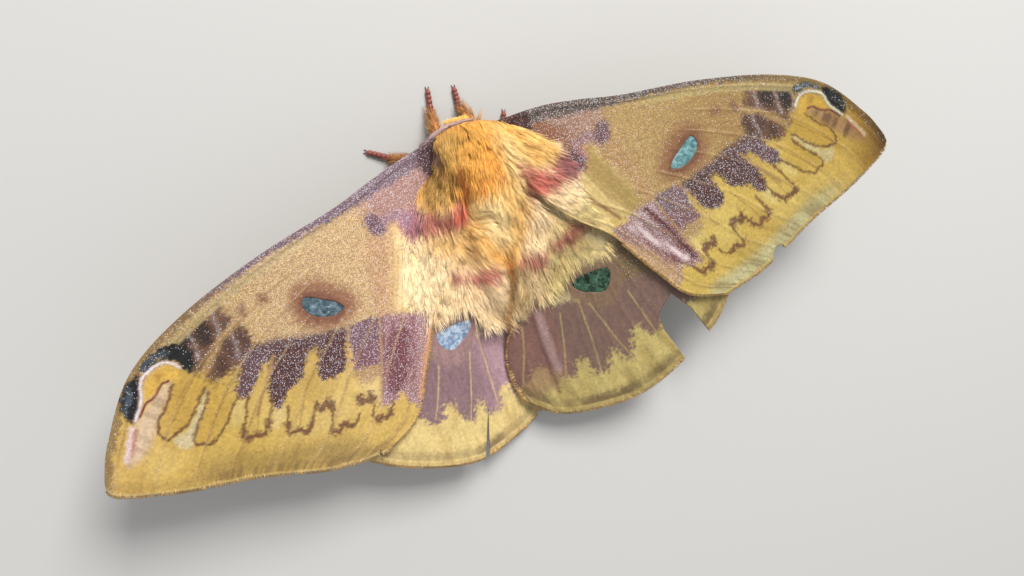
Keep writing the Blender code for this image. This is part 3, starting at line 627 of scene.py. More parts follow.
def paint_forewing(x, y, u, v, span, seed):
    """Upper face of a forewing."""
    right = seed % 2
    costa_gap = v * span
    margin_gap, _, _ = edge_distance(x, y, smooth_line(FORE_OUTER), False)
    streak = noise(costa_gap, u * 50, 0.22, seed + 5) * 0.5 + noise(costa_gap * 2, u * 12, 0.9, seed + 6) * 0.5
    sheet = Sheet(x, y, GOLD, seed)
    # Darker ochre streaks along the membrane's soft folds: painted fold shade
    folds = noise(v * 30, u * 9, 1.3, seed + 7)
    sheet.lay(0.34 * ramp(0.1, 0.7, folds), tone(178, 130, 60))
    sheet.lay(0.35 * ramp(-0.3, 0.6, noise(x, y, 4.0, seed + 15)), tone(244, 204, 128))
    sheet.fill([(20.6, 26.6), (24.4, 25.6), (25.0, 28.0), (22.6, 30.0), (21.0, 29.0)], 0.7, tone(236, 196, 124))
    for middle, radii, turn in (((39.2, 22.6), (0.7, 1.6), -38), ((35.4, 25.2), (0.8, 1.6), -40),
                                ((45.2, 15.0), (0.9, 0.7), 30)):
        sheet.spot(middle, radii, turn, 0.5, tone(236, 200, 136), strength=0.7)
    smudges = [((41.5, 28.6), (4.6, 1.5), -18), ((34.5, 31.0), (3.6, 1.3), -20), ((30.0, 33.0), (3.0, 1.4), -24)]
    for middle, radii, turn in smudges:
        sheet.spot(middle, radii, turn, 1.2, tone(160, 126, 72), 0.1, 0.0, strength=0.6 - 0.3 * right)
    # Darker ochre toward the right wing's tip: painted shade
    sheet.lay(0.6 * right * ramp(48.0, 53.5, x), tone(160, 108, 44))
    field = [(4, 2), (20, 4), (40, 8.5), (48, 13), (47, 15), (42, 14.2), (40, 17), (36.5, 17.2), (30, 18.8),
             (20, 20), (17.4, 20.6), (14, 10.4), (12, 8.2), (4, 8.6)]
    # The right wing's speckled field is darker, more so toward its tip: painted shade
    shade = blend(np.ones(3), np.array((0.66, 0.60, 0.48)), 0.5 * right + 0.5 * right * ramp(18.0, 34.0, x))
    sheet.fill(field, 0.8, OCHRE * shade, 0.72, 0.04)
    sheet.fill([(4, 2), (16, 4), (16, 8), (12, 9), (4, 9.4)], 1.6, tone(184, 138, 124), 0.5, 0.24)
    sheet.fill([(14.2, 10.2), (17.4, 10), (20, 19.0), (18, 20.6)], 1.2, tone(206, 152, 112), 0.6, 0.12, strength=0.6)
    sheet.fill([(36.4, 10.8), (42, 11.6), (42.4, 14.2), (41.0, 17.0), (39.6, 18.4), (35.0, 17.0), (34.4, 14.4)], 0.6,
               tone(106, 76, 58), 0.45, 0.06, rough=0.5)
    for line in ([(37.1, 10.4), (37.2, 12.2), (37.4, 13.6)], [(40.2, 11.6), (40.2, 13.4), (40.4, 15.0)],
                 [(36.1, 14.0), (36.3, 15.6), (36.6, 17.0)], [(42.5, 13.0), (42.3, 14.2), (42.0, 15.4)]):
        sheet.draw(line, 0.1, 0.4, tone(184, 160, 168), 0.2, 0.3, rough=0.15, strength=0.6)
    sheet.draw([(34.6, 12.6), (37.6, 14.2), (40.4, 16.6)], 0.3, 0.5, tone(206, 162, 110), 0.4, 0.1, strength=0.8)
    for middle, radii, ground in SPOTS:
        sheet.spot(middle, radii, -12, 0.45, ground, 0.2, 0.04)
    sheet.fill([(21.4, 17.0), (22.6, 14.0), (25.2, 11.9), (28.1, 11.9), (29.2, 14.4), (28.3, 17.0), (25.0, 18.6)], 1.0,
               tone(164, 114, 82), 0.6, 0.03)
    sheet.fill([(22.8, 16.8), (24.4, 14.2), (26.8, 12.9), (28.1, 14.0), (27.4, 16.4), (24.8, 17.7)], 0.5,
               tone(132, 82, 60), 0.4, 0.0)
    satin = 0.5 * noise(3.2 * (x * 0.914 - y * 0.407), 0.2 * (x * 0.407 + y * 0.914), 1.0, seed + 12) + 0.5 * noise(
        1.1 * (x * 0.914 - y * 0.407), 0.1 * (x * 0.407 + y * 0.914), 1.0, seed + 13)
    pale = blend(tone(255, 214, 156), tone(216, 172, 112), ramp(-0.5, 0.7, satin))
    sheet.fill(PALE_FIELD, 1.1, pale, 0.03, 0.0, rough=0.6)
    # A broad darker band along a fold in the right wing's pale field: painted fold shade
    if right:
        sheet.draw([(12.9, 11.4), (14.6, 14.6), (17.0, 19.4)], 1.0, 1.4, tone(176, 138, 80), 0.2, 0.0, strength=0.8)
    sheet.fill(ROSE_PATCH, 0.6, ROSE, 0.15, 0.12, rough=0.5)
    sheet.fill([(9.4, 9.4), (12.2, 8.9), (13.0, 10.0), (12.9, 11.2), (12, 12.4), (10.6, 12.4)], 0.9,
               tone(172, 124, 136), 0.25, 0.34)
    if right:
        sheet.fill([(7.6, 4.8), (10.4, 5.6), (12.0, 8.0), (12.6, 9.8), (10.6, 9.8), (8.8, 7.4)], 0.9,
                   tone(160, 104, 76), 0.6, 0.2, rough=0.5)
        sheet.spot((11.9, 11.0), (0.7, 1.6), -18, 0.5, tone(100, 62, 68), 0.3, 0.3)
        sheet.draw([(9.8, 14.0), (12.2, 17.0), (14.7, 20.4)], 0.10, 0.35, tone(150, 104, 70), rough=0.05)
    sheet.draw([(12.4, 9.0), (14.2, 8.8), (15.6, 9.4)], 0.5, 0.8, tone(164, 118, 124), 0.35, 0.3)
    sheet.spot((16.0, 8.9), (1.1, 1.6), 20, 0.5, tone(112, 78, 88), 0.35, 0.3)
    sheet.fill(INNER_BLOCK, 0.4, tone(166, 118, 116), 0.3, 0.34, rough=0.35)
    sheet.fill([(12.6, 22.2), (15.0, 24.6), (17.0, 27.8), (19.0, 31.6), (18.6, 33.6), (17.0, 32.6), (14.6, 27.0),
                (12.2, 23.6)], 0.5, tone(222, 154, 112), 0.25, 0.05)
    sheet.fill([(17.0, 22.2), (19.8, 22.6), (21.4, 26.0), (22.4, 29.2), (20.8, 29.4), (18.8, 27.4)], 0.6,
               tone(114, 62, 66), 0.35, 0.24, rough=0.4)
    sheet.fill([(15.6, 21.4), (19.6, 20.0), (21.0, 22.6), (22.0, 26.0), (20.6, 26.4), (18.0, 24.4)], 0.9,
               tone(206, 170, 176), 0.2, 0.5, strength=0.5 * right)
    if right:
        sheet.fill([(14.6, 24.2), (17.0, 26.0), (20.0, 30.0), (19.2, 32.4), (17.0, 29.6), (14.8, 26.0)], 0.8,
                   tone(206, 158, 124), 0.2, 0.1)
        sheet.draw([(16.0, 22.2), (18.4, 25.2), (21.6, 28.9)], 0.3, 0.6, tone(246, 206, 216), 0.1, 0.5)
        sheet.draw([(18.4, 20.6), (20.6, 24.4), (22.8, 29.2)], 0.25, 0.5, tone(92, 46, 52), 0.3, 0.1)
    for k in range(4):
        top = (15.9 + 1.35 * k, 21.6 - 0.25 * k)
        sheet.draw([top, (top[0] + 1.3, top[1] + 3.4), (top[0] + 3.0, top[1] + 7.2)], 0.12, 0.5,
                   tone(132, 74, 80), 0.3, 0.2, strength=0.7)
    sheet.fill(BAND_CLOUD, 0.55, tone(92, 68, 68), 0.4, 0.26)
    for outline, ground, speck, frost in BAND_BLOCKS:
        sheet.fill(outline, 0.28, ground * (1.0, 1.15, 1.2) if right else ground, speck, frost, rough=0.3)
    sheet.fill([(20.6, 22.4), (24.6, 22.6), (25.4, 25.4), (23.6, 26.6), (21.6, 25.6)], 0.6, tone(136, 82, 84), 0.3,
               0.25, strength=0.5)
    for line in ([(19.7, 19.4), (21.0, 23.0), (22.6, 27.2), (24.0, 30.6)], [(23.6, 18.8), (25.1, 22.2), (27.0, 26.2)]):
        sheet.draw(line, 0.07, 0.22, tone(206, 158, 100), 0.2, 0.05, strength=0.8)
    sheet.draw([(33.0, 18.3), (34.6, 20.4), (36.2, 22.4), (37.5, 24.0)], 0.12, 0.25, tone(190, 144, 92), 0.1, 0.0)
    sheet.fill([(40, 18.8), (42, 16.4), (46, 18.0), (47.8, 21.6), (45, 24.6), (41.4, 23.6), (39.6, 21.8)], 1.2,
               tone(206, 156, 64), strength=0.55)
    for outline in BLOTCHES:
        sheet.fill(outline, 0.3, tone(110, 72, 54), 0.5, 0.05, rough=0.3, strength=0.9)
    # On the right wing the flame is painted darker: painted shade
    sheet.fill(FLAME, 0.6, tone(186, 140, 112) if right else tone(230, 194, 166), 0.0, 0.0, rough=0.15,
               strength=0.9)
    sheet.fill(PALE_FLAME, 0.35, tone(226, 202, 164), 0.05, 0.02, rough=0.1, strength=0.85)
    # Darker stripes across the flame, stronger on the right wing: painted shade of its pleats
    painted_pleat_shade = ramp(0.0, 0.5, noise(1.5 * (0.75 * x + 0.66 * y), 0.3 * (0.66 * x - 0.75 * y), 1.0, seed + 14))
    near, gap = sheet.region(FLAME, 0.5)
    darker = np.zeros(x.shape)
    darker[near] = (1 - ramp(-0.5, 0.5, gap)) * (0.75 if right else 0.3)
    sheet.lay(darker * painted_pleat_shade, tone(116, 76, 62))
    shift = -0.3 if right else 0.0
    for line in LOOPS:
        sheet.draw([(a + shift, b) for a, b in line], 0.10, 0.18, tone(84, 50, 30), 0.5, 0.0, rough=0.14, strength=0.8)
        tip = line[len(line) // 3:-len(line) // 3]
        sheet.draw([(a + shift, b) for a, b in tip], 0.10, 0.22, tone(98, 62, 36), 0.6, 0.0, rough=0.2, strength=0.5)
    for line in LOOPS[2:]:
        low = line[len(line) // 4:-(len(line) // 4)]
        sheet.draw([(a + shift, b) for a, b in low], 0.28, 0.3, tone(120, 78, 54), 0.5, 0.0, rough=0.3, strength=0.8)
    for line in LOOP_VEINS:
        sheet.draw([(a + shift, b) for a, b in line], 0.04, 0.12, tone(150, 104, 58), strength=0.6)
    vein_tone = blend(tone(216, 176, 122), tone(150, 108, 66), ramp(-0.6, 0.8, noise(x, y, 3.0, seed + 8)))
    for place, start in FORE_VEINS:
        gap = np.abs(v - place) * span
        share = (1 - ramp(0.05, 0.22, gap)) * ramp(start, start + 0.06, u) * (1 - ramp(0.6, 1.6, 1.6 - margin_gap))
        sheet.lay((0.45 - 0.15 * right) * share, vein_tone, 0.25, 0.05)
    olive = (1 - ramp(0.35, 0.9, np.abs(costa_gap - 1.5))) * ramp(19, 26, x) * (1 - ramp(42, 46, x))
    sheet.lay(0.75 * olive, tone(206, 176, 126), 0.2, 0.05)
    strip_width = np.interp(x, [4, 12, 20, 30, 42, 52], [2.1, 1.9, 1.0, 0.6, 0.8, 0.9])
    strip = 1 - ramp(strip_width - 0.45, strip_width + 0.35, costa_gap + 0.3 * sheet.rough_x)
    strip_base = tone(98, 86, 80) if right else tone(124, 100, 108)
    strip_tone = blend(strip_base, tone(146, 116, 78), ramp(32, 42, x))
    sheet.lay(strip, strip_tone, 0.4, 0.34)
    sheet.lay(strip * ramp(30, 38, x), None, 0.3, 0.10)
    sheet.lay(strip * ramp(42, 47, x), tone(160, 128, 80), 0.3, 0.04)
    for outline in BLACKS["right" if right else "left"]:
        sheet.fill(outline, 0.25, tone(20, 20, 22), 0.0, 0.02)
    sheet.draw([(43.2, 12.9), (44.6, 12.9), (46.0, 13.6)], 0.15, 0.5, tone(116, 128, 146), 0.0, 0.4, rough=0.35,
               strength=0.45 + 0.25 * right)
    sheet.draw([(48.2, 15.0), (49.2, 16.4), (49.7, 17.6)], 0.12, 0.45, tone(116, 128, 146), 0.0, 0.4, rough=0.35,
               strength=0.5 - 0.3 * right)
    sheet.fill(ARCH_GOLD, 0.3, tone(232, 180, 84), 0.0, 0.0, rough=0.05)
    sheet.spot((45.0, 15.1), (0.5, 0.5), 0, 0.4, tone(176, 124, 60), strength=0.8)
    sheet.draw([(44.3, 15.9), (45.2, 16.0), (45.9, 16.6), (46.6, 17.1), (47.3, 17.2), (48.0, 17.8), (48.6, 18.4)],
               0.10, 0.12, tone(126, 48, 46), 0.0, 0.0, rough=0.04)
    sheet.draw(ARCH, 0.14, 0.2, tone(206, 150, 160) * (1.0, 1.0 + 0.7 * right, 1.0 + 0.6 * right), 0.0, 0.1, rough=0.05)
    sheet.draw(ARCH, 0.07, 0.12, tone(246, 240, 238), 0.0, 0.1, rough=0.05)
    sheet.draw([(49.9, 19.2), (50.5, 20.2), (51.2, 21.3), (51.9, 22.4)], 0.22, 0.25, tone(238, 204, 200), 0.0, 0.1,
               rough=0.12)
    sheet.draw([(49.6, 19.6), (50.3, 20.8), (51.2, 22.0)], 0.10, 0.25, tone(190, 84, 92), rough=0.12, strength=0.6)
    sheet.fill([(4, 1.2), (6.2, 1.4), (7.8, 3.2), (7.8, 5.2), (6.4, 6.4), (4, 6.8)], 0.6, tone(78, 54, 58), 0.3, 0.12)
    # The brown margin band is the wing's own colour; the darker stripes across it are painted pleat shade
    stripes = noise(v * 60, u * 4, 0.5, seed + 9) + 0.6 * noise(v * 34, u * 4, 1.1, seed + 10)
    pleat_shade = ramp(-0.5, 0.9, stripes) * ramp(0.20, 0.45, v)
    edge = ramp(0.15, 0.5, margin_gap) * (1 - ramp(0.9 + 0.5 * right, 2.0 + 1.2 * right, margin_gap))
    if right:
        sheet.lay(0.8 * edge * ramp(0.20, 0.45, v), tone(214, 198, 160), 0.1, 0.0)
    sheet.lay(0.9 * edge * (0.3 * (1 - right) + 0.7 * pleat_shade), tone(146, 114, 68), 0.1, 0.0)
    sheet.lay(1 - ramp(0.1, 0.35, margin_gap), tone(198, 166, 112))
    # Brightness steps, with the right wing's painted shade
    steps = FORE_BRIGHTNESS_AND_PAINTED_SHADE[right]
    painted_shade_scale = np.stack([np.interp(x, steps[:, 0], steps[:, k]) for k in (1, 2, 3)], axis=-1)
    sheet.tone = sheet.tone * painted_shade_scale * (1 + 0.12 * streak)[..., None]
    return sheet


HIND_BAND = [(-6, 27.4), (-1, 27.9), (3, 28.5), (6.4, 28.7), (8.5, 29.4), (11, 29.5), (13, 28.6), (17, 28.2),
             (22, 28.6), (27, 29), (27, 33), (22, 34.4), (18.3, 35.5), (17.2, 36.7), (16, 37.3), (15.2, 36.8),
             (14.6, 35.3), (13.5, 35.7), (13.0, 37.4), (12.2, 39.3), (11.2, 38.9), (10.3, 37.5), (9.6, 37.8),
             (9.0, 39.9), (8.0, 40.0), (6.8, 40.0), (6.5, 38.5), (5.7, 37.4), (4.7, 37.6), (4.0, 39.4), (3.2, 39.2),
             (2.2, 38.5), (1.2, 37.4), (0.4, 36.8), (-0.8, 36.6), (-2.0, 37.6), (-3.4, 38.8), (-6, 38.4)]
HIND_ROSE = [
    [(0.6, 20.6), (3, 20.5), (5.2, 20.2), (5.9, 21.6), (5.0, 22.6), (3.2, 23.0), (0.8, 22.6)],
    [(6.2, 19.4), (8, 18.6), (10.6, 18.4), (11.0, 20.0), (9.2, 20.8), (7.2, 21.2), (6.0, 20.8)],
]


# Thin pale lines along the hindwing's veins
HIND_LINES = {
    "left": [[(7.0, 28.8), (7.1, 34.0), (7.3, 39.5)], [(8.9, 30.5), (10.6, 35.6), (12.6, 40.5)],
             [(13.7, 30.0), (15.0, 33.4), (16.5, 36.5)]],
    "right": [[(4.6, 30.0), (3.9, 34.5), (2.8, 39.0)], [(7.5, 29.0), (7.7, 34.5), (7.7, 40.0)],
              [(8.8, 30.0), (11.0, 36.0), (13.3, 41.5)], [(14.3, 30.0), (15.6, 34.0), (16.8, 38.0)],
              [(-0.5, 29.0), (-1.6, 33.8), (-3.2, 38.5)]],
}


def paint_hindwing(x, y, u, v, span, seed):
    """Upper face of a hindwing."""
    right = seed % 2
    word = "right" if right else "left"
    # The right hindwing is scaled darker than the left: painted shade
    painted_shade_scale = (0.34, 0.38, 0.36) if right else (0.52, 0.56, 0.62)
    margin_gap, _, _ = edge_distance(x, y, smooth_line(HIND_OUTER + HIND_CORNER[word]), False)
    streak = noise(x * 2.2, y * 0.7, 0.8, seed + 5)
    sheet = Sheet(x, y, tone(236, 202, 128), seed)
    # Darker ochre streaks along the membrane's soft folds: painted fold shade
    folds = noise(v * 34, u * 8, 1.5, seed + 7)
    sheet.lay(0.30 * ramp(0.0, 0.7, folds), tone(188, 142, 74))
    sheet.fill([(-6, 6), (14, 6), (30, 14), (30, 28), (20, 29), (-6, 29)], 1.2, PALE_SCALE, 0.03, 0.0)
    # Darker brown where the forewing overlaps the hindwing: painted shadow of the forewing
    sheet.fill([(13.5, 23), (20, 22), (30, 24), (30, 30), (14, 30)], 1.6, tone(150, 118, 84), 0.1, 0.05)
    for outline in HIND_ROSE:
        sheet.fill(outline, 0.7, tone(204, 122, 112), 0.05, 0.02, rough=0.6)
    band = tone(152, 114, 104) if right else blend(tone(190, 148, 150), tone(146, 112, 112), ramp(4.0, 11.0, x))
    sheet.fill(HIND_BAND, 0.5, band, 0.12, 0.0, rough=0.6)
    sheet.fill([(-6, 26), (2.6, 27), (3.4, 33), (3.2, 39), (-6, 40)], 0.9, tone(172, 112, 104), 0.1, 0.0,
               strength=0.55 * (1 if right else 0.7))
    sheet.fill([(6.3, 27), (8, 25), (12.6, 24.8), (14, 27), (13.2, 30), (10.5, 31.4), (8, 29.8)], 0.6,
               tone(158, 122, 98) if right else tone(168, 130, 122), 0.15, 0.0)
    if right:
        sheet.draw([(1.9, 28.8), (1.9, 33), (2.2, 37.6)], 0.4, 0.6, tone(204, 158, 156), 0.0, 0.02)
        sheet.draw([(0.9, 29.4), (1.0, 34), (1.4, 41)], 0.16, 0.3, tone(118, 72, 66), strength=0.6)
        for middle in ((11.0, 43.6), (15.0, 42.6), (17.0, 41.8)):
            sheet.spot(middle, (1.2, 0.8), -12, 0.8, tone(136, 108, 70), strength=0.6)
    for line in HIND_LINES[word]:
        sheet.draw(line, 0.05, 0.13, tone(226, 190, 126), 0.0, 0.0, rough=0.04, strength=0.85)
    smudge = ramp(-0.1, 0.6, noise(v * 30, u * 5, 1.3, seed + 9))
    edge = ramp(0.55, 0.9, margin_gap) * (1 - ramp(1.3, 2.4, margin_gap + 0.3 * sheet.rough_x))
    sheet.lay(edge * (0.45 + 0.5 * smudge), tone(146, 116, 78), 0.1, 0.0)
    sheet.lay(0.8 * (1 - ramp(0.3, 0.7, margin_gap)), tone(206, 170, 108))
    sheet.tone = sheet.tone * painted_shade_scale * (1 + 0.12 * streak)[..., None]
    return sheet


# Wing meshes


def wing_specs():
    specs = []
    for side, word in ((-1, "left"), (1, "right")):
        specs.append(dict(name="forewing_" + word, side=side, sweep=FORE_SWEEP, front=FORE_ROOT[word] + FORE_COSTA,
                          outer=FORE_OUTER, rear=FORE_INNER, veins=FORE_VEINS, lift=no_lift, window=FORE_WINDOW, rows=321,
                          columns=233, paint=paint_forewing, seed=20 + (side > 0)))
        specs.append(dict(name="hindwing_" + word, side=side, sweep=HIND_SWEEP, front=HIND_COSTA,
                          outer=HIND_OUTER + HIND_CORNER[word], rear=HIND_INNER[word], veins=HIND_VEINS,
                          lift=hind_lift, window=HIND_WINDOW, rows=241, columns=225, paint=paint_hindwing,
                          seed=40 + (side > 0)))
    return specs


def wing_grid(wing):
    """Flat points, u, v and chord length over the wing's grid, from root to margin and front to rear."""
    u = np.linspace(0.0, 1.0, wing["rows"]) ** 0.85
    v = np.linspace(0.0, 1.0, wing["columns"])
    front, rear = curve_points(wing["front"], u)[:, None], curve_points(wing["rear"], u)[:, None]
    root0, root1 = np.array(wing["front"][0], float), np.array(wing["rear"][0], float)
    margin = curve_points(wing["outer"], v)[None]
    uu, vv = u[:, None, None], v[None, :, None]
    root = root0 + (root1 - root0) * vv
    corners = ((1 - uu) * (1 - vv) * root0 + (1 - uu) * vv * root1
               + uu * (1 - vv) * np.array(wing["outer"][0], float) + uu * vv * np.array(wing["outer"][-1], float))
    flat = (1 - vv) * front + vv * rear + (1 - uu) * root + uu * margin - corners
    span = np.linalg.norm(rear - front, axis=-1) + 0 * vv[..., 0]
    return flat, np.broadcast_to(uu[..., 0], span.shape), np.broadcast_to(vv[..., 0], span.shape), span


def wing_relief(wing, u, v, span):
    """Height of the costal roll, the veins and the soft folds over the smooth sheet."""
    relief = 0.26 * (1 - 0.6 * u) * np.exp(-(v * span / 0.8) ** 2)
    for place, start in wing["veins"]:
        gap = np.abs(v - place) * span
        relief = relief + VEIN_HIGH * (1.2 - 0.6 * u) * ramp(start, start + 0.08, u) * np.exp(-(gap / VEIN_REACH) ** 2)
    seed = wing["seed"]
    folds = 0.09 * noise(v * 30, u * 7, 1.25, seed + 7) + 0.04 * noise(v * 30, u * 20, 0.7, seed + 11)
    pleats = 0.07 * noise(v * span * 1.6, u * 5, 1.0, seed + 13) * ramp(0.80, 0.97, u)
    return relief + folds * ramp(0.45, 0.95, u) + pleats + 0.05 * noise(v * 20, u * 30, 4.0, seed + 12)


def kept_cells(wing, flat):
    """Grid points pulled to the rims of openings and tears, and the mask of cells outside them."""
    cell = 0.11
    holes = [smooth_ring(wing["window"])] + [np.array(tear, float) for tear in TEARS[wing["name"]]]
    x, y = flat[..., 0].copy(), flat[..., 1].copy()
    keep = np.ones((flat.shape[0] - 1, flat.shape[1] - 1), bool)
    for hole in holes:
        low, high = hole.min(axis=0) - 1.0, hole.max(axis=0) + 1.0
        near = (x > low[0]) & (x < high[0]) & (y > low[1]) & (y < high[1])
        gap, px, py = edge_distance(x[near], y[near], hole, True)
        close = np.abs(gap) < cell
        x[near] = np.where(close, px, x[near])
        y[near] = np.where(close, py, y[near])
        mid_x = (x[:-1, :-1] + x[1:, :-1] + x[:-1, 1:] + x[1:, 1:]) / 4
        mid_y = (y[:-1, :-1] + y[1:, :-1] + y[:-1, 1:] + y[1:, 1:]) / 4
        gap, _, _ = edge_distance(mid_x, mid_y, hole, True)
        keep &= gap > 0
    return x, y, keep


def lower_faces(keep, columns):
    """Faces of the lower side: one for each whole block of cells, single cells near the rims.

    A block's face takes in every grid point on a side that meets single cells or the rim.
    """
    rows, wide = keep.shape
    blocks = keep.reshape(rows // BLOCK, BLOCK, wide // BLOCK, BLOCK).all(axis=(1, 3))
    whole = np.zeros((blocks.shape[0] + 2, blocks.shape[1] + 2), bool)
    whole[1:-1, 1:-1] = blocks
    faces = {}
    for bi, bj in np.argwhere(~blocks):
        for i in range(bi * BLOCK, bi * BLOCK + BLOCK):
            for j in range(bj * BLOCK, bj * BLOCK + BLOCK):
                if keep[i, j]:
                    a = i * columns + j
                    faces.setdefault(4, []).append((a, a + columns, a + columns + 1, a + 1))
    for bi, bj in np.argwhere(blocks):
        i, j = bi * BLOCK, bj * BLOCK
        near = {"up": whole[bi + 2, bj + 1], "down": whole[bi, bj + 1],
                "left": whole[bi + 1, bj], "right": whole[bi + 1, bj + 2]}
        steps = range(1, BLOCK)
        ring = [(i, j)] + ([] if near["left"] else [(i + k, j) for k in steps])
        ring += [(i + BLOCK, j)] + ([] if near["up"] else [(i + BLOCK, j + k) for k in steps])
        ring += [(i + BLOCK, j + BLOCK)] + ([] if near["right"] else [(i + BLOCK - k, j + BLOCK) for k in steps])
        ring += [(i, j + BLOCK)] + ([] if near["down"] else [(i, j + BLOCK - k) for k in steps])
        faces.setdefault(len(ring), []).append(tuple(p * columns + q for p, q in ring))
    return [np.array(block) for block in faces.values()]


def rim_faces(keep, columns):
    """Walls round the kept cells as (upper a, upper b), each edge as its upper face runs."""
    padded = np.pad(keep, 1)
    inner = padded[1:-1, 1:-1]
    walls = []
    for di, dj, first, second in ((-1, 0, (0, 0), (0, 1)), (0, 1, (0, 1), (1, 1)), (1, 0, (1, 1), (1, 0)),
                                  (0, -1, (1, 0), (0, 0))):
        beside = padded[1 + di:padded.shape[0] - 1 + di, 1 + dj:padded.shape[1] - 1 + dj]
        i, j = np.nonzero(inner & ~beside)
        walls.append(np.c_[(i + first[0]) * columns + j + first[1], (i + second[0]) * columns + j + second[1]])
    return np.concatenate(walls)


def build_wing(wing, material):
    flat, u, v, span = wing_grid(wing)
    x, y, keep = kept_cells(wing, flat)
    columns, size = wing["columns"], x.size
    lift = wing["lift"](x, y, wing["side"])
    relief = wing_relief(wing, u, v, span)
    upper = wing_place(x, y, wing["side"], wing["sweep"], lift + SHEET_TOP + relief)
    lower = wing_place(x, y, wing["side"], wing["sweep"], lift - SHEET_LOW + 0.5 * np.minimum(relief, 0.0))
    points = np.concatenate([upper.reshape(-1, 3), lower.reshape(-1, 3)])
    i, j = np.nonzero(keep)
    a = i * columns + j
    top = np.c_[a, a + 1, a + columns + 1, a + columns]
    under = lower_faces(keep, columns)
    rim = rim_faces(keep, columns)
    walls = np.c_[rim[:, 0] + size, rim[:, 1] + size, rim[:, 1], rim[:, 0]]
    blocks = [top, walls] + [block + size for block in under]
    if wing["side"] < 0:
        blocks = [block[:, ::-1] for block in blocks]
    sheet = wing["paint"](x, y, u, v, span, wing["seed"])
    shade = sheet.tone.reshape(-1, 3)
    pale = blend(shade, tone(206, 172, 118) * np.ones((1, 3)), np.full(size, 0.45))
    dust = np.c_[sheet.speck.ravel(), sheet.frost.ravel(), np.zeros(size)]
    flat_uv = np.c_[x.ravel() + 6.0, y.ravel()] / 62.0
    upper_uv = flat_uv * (0.98, 0.98) + (0.01, 0.0)
    lower_uv = np.c_[flat_uv[:, 0] * 0.4 + 0.01, flat_uv[:, 1] * 0.4 + 0.74]
    loops_uv = [upper_uv[block.ravel() % size] for block in blocks[:2]]
    loops_uv += [lower_uv[block.ravel() - size] for block in blocks[2:]]
    used = np.zeros(len(points), bool)
    for block in blocks:
        used[block.ravel()] = True
    renumber = np.cumsum(used) - 1
    return make_piece(wing["name"] + "_scaled", points[used], [renumber[block] for block in blocks], material,
                      [wing["name"]],
                      tones=np.concatenate([shade, pale])[used], dust=np.concatenate([dust, 0.5 * dust])[used],
                      loop_uv=np.concatenate(loops_uv))


def build_pane(wing, material):
    """Bare, slightly creased membrane in a wing's window, its edge tucked into the sheet."""
    ring = smooth_ring(wing["window"], 8)
    middle = ring.mean(axis=0)
    steps = np.linspace(0.0, 1.0, 12)[1:, None, None]
    flat = middle + (ring - middle)[None] * steps * 1.03
    x, y = flat[..., 0], flat[..., 1]
    calm = 1 - steps[..., 0] ** 3
    crease = calm * (0.10 * noise(x, y, 0.7, wing["seed"]) + 0.05 * noise(x, y, 0.3, wing["seed"] + 1))
    lift = wing["lift"](x, y, wing["side"])
    centre = np.array([[middle[0]]]), np.array([[middle[1]]])
    points = []
    for offset in (0.03, -0.05):
        points.append(wing_place(x, y, wing["side"], wing["sweep"], lift + crease + offset).reshape(-1, 3))
        low = wing["lift"](*centre, wing["side"]) + offset
        points.append(wing_place(*centre, wing["side"], wing["sweep"], low).reshape(-1, 3))
    count, rings = len(ring), len(steps)
    k = np.arange(count)
    n = (k + 1) % count
    body = count * rings + 1
    quads, tips = [], []
    for base, flip in ((0, 1), (body, -1)):
        tips.append(np.c_[base + k, base + n, np.full(count, base + body - 1)][:, ::flip])
        for r in range(rings - 1):
            quads.append((np.c_[k, k + count, n + count, n] + base + r * count)[:, ::flip])
    outer = (rings - 1) * count
    quads.append(np.c_[outer + n, outer + k, body + outer + k, body + outer + n])
    blocks = [np.concatenate(quads), np.concatenate(tips)]
    if wing["side"] < 0:
        blocks = [block[:, ::-1] for block in blocks]
    return make_piece(wing["name"] + "_window", np.concatenate(points), blocks, material,
                      ["window_" + wing["name"]])


def flat_strands(wing, rng, x, y, way, length, rise, start_lift, stations):
    """Centre lines of hairs that lie over a wing: way is the flat direction of each."""
    share = np.linspace(0.0, 1.0, stations)[None]
    bend = rng.normal(0.0, 0.10, len(x))[:, None]
    across = np.stack([-way[:, 1], way[:, 0]], axis=1)
    step = length[:, None] * share
    fx = x[:, None] + way[:, :1] * step + across[:, :1] * bend * step * share
    fy = y[:, None] + way[:, 1:] * step + across[:, 1:] * bend * step * share
    lift = wing["lift"](fx, fy, wing["side"]) + start_lift + rise[:, None] * np.sin(share * 2.2)
    return wing_place(fx, fy, wing["side"], wing["sweep"], lift)


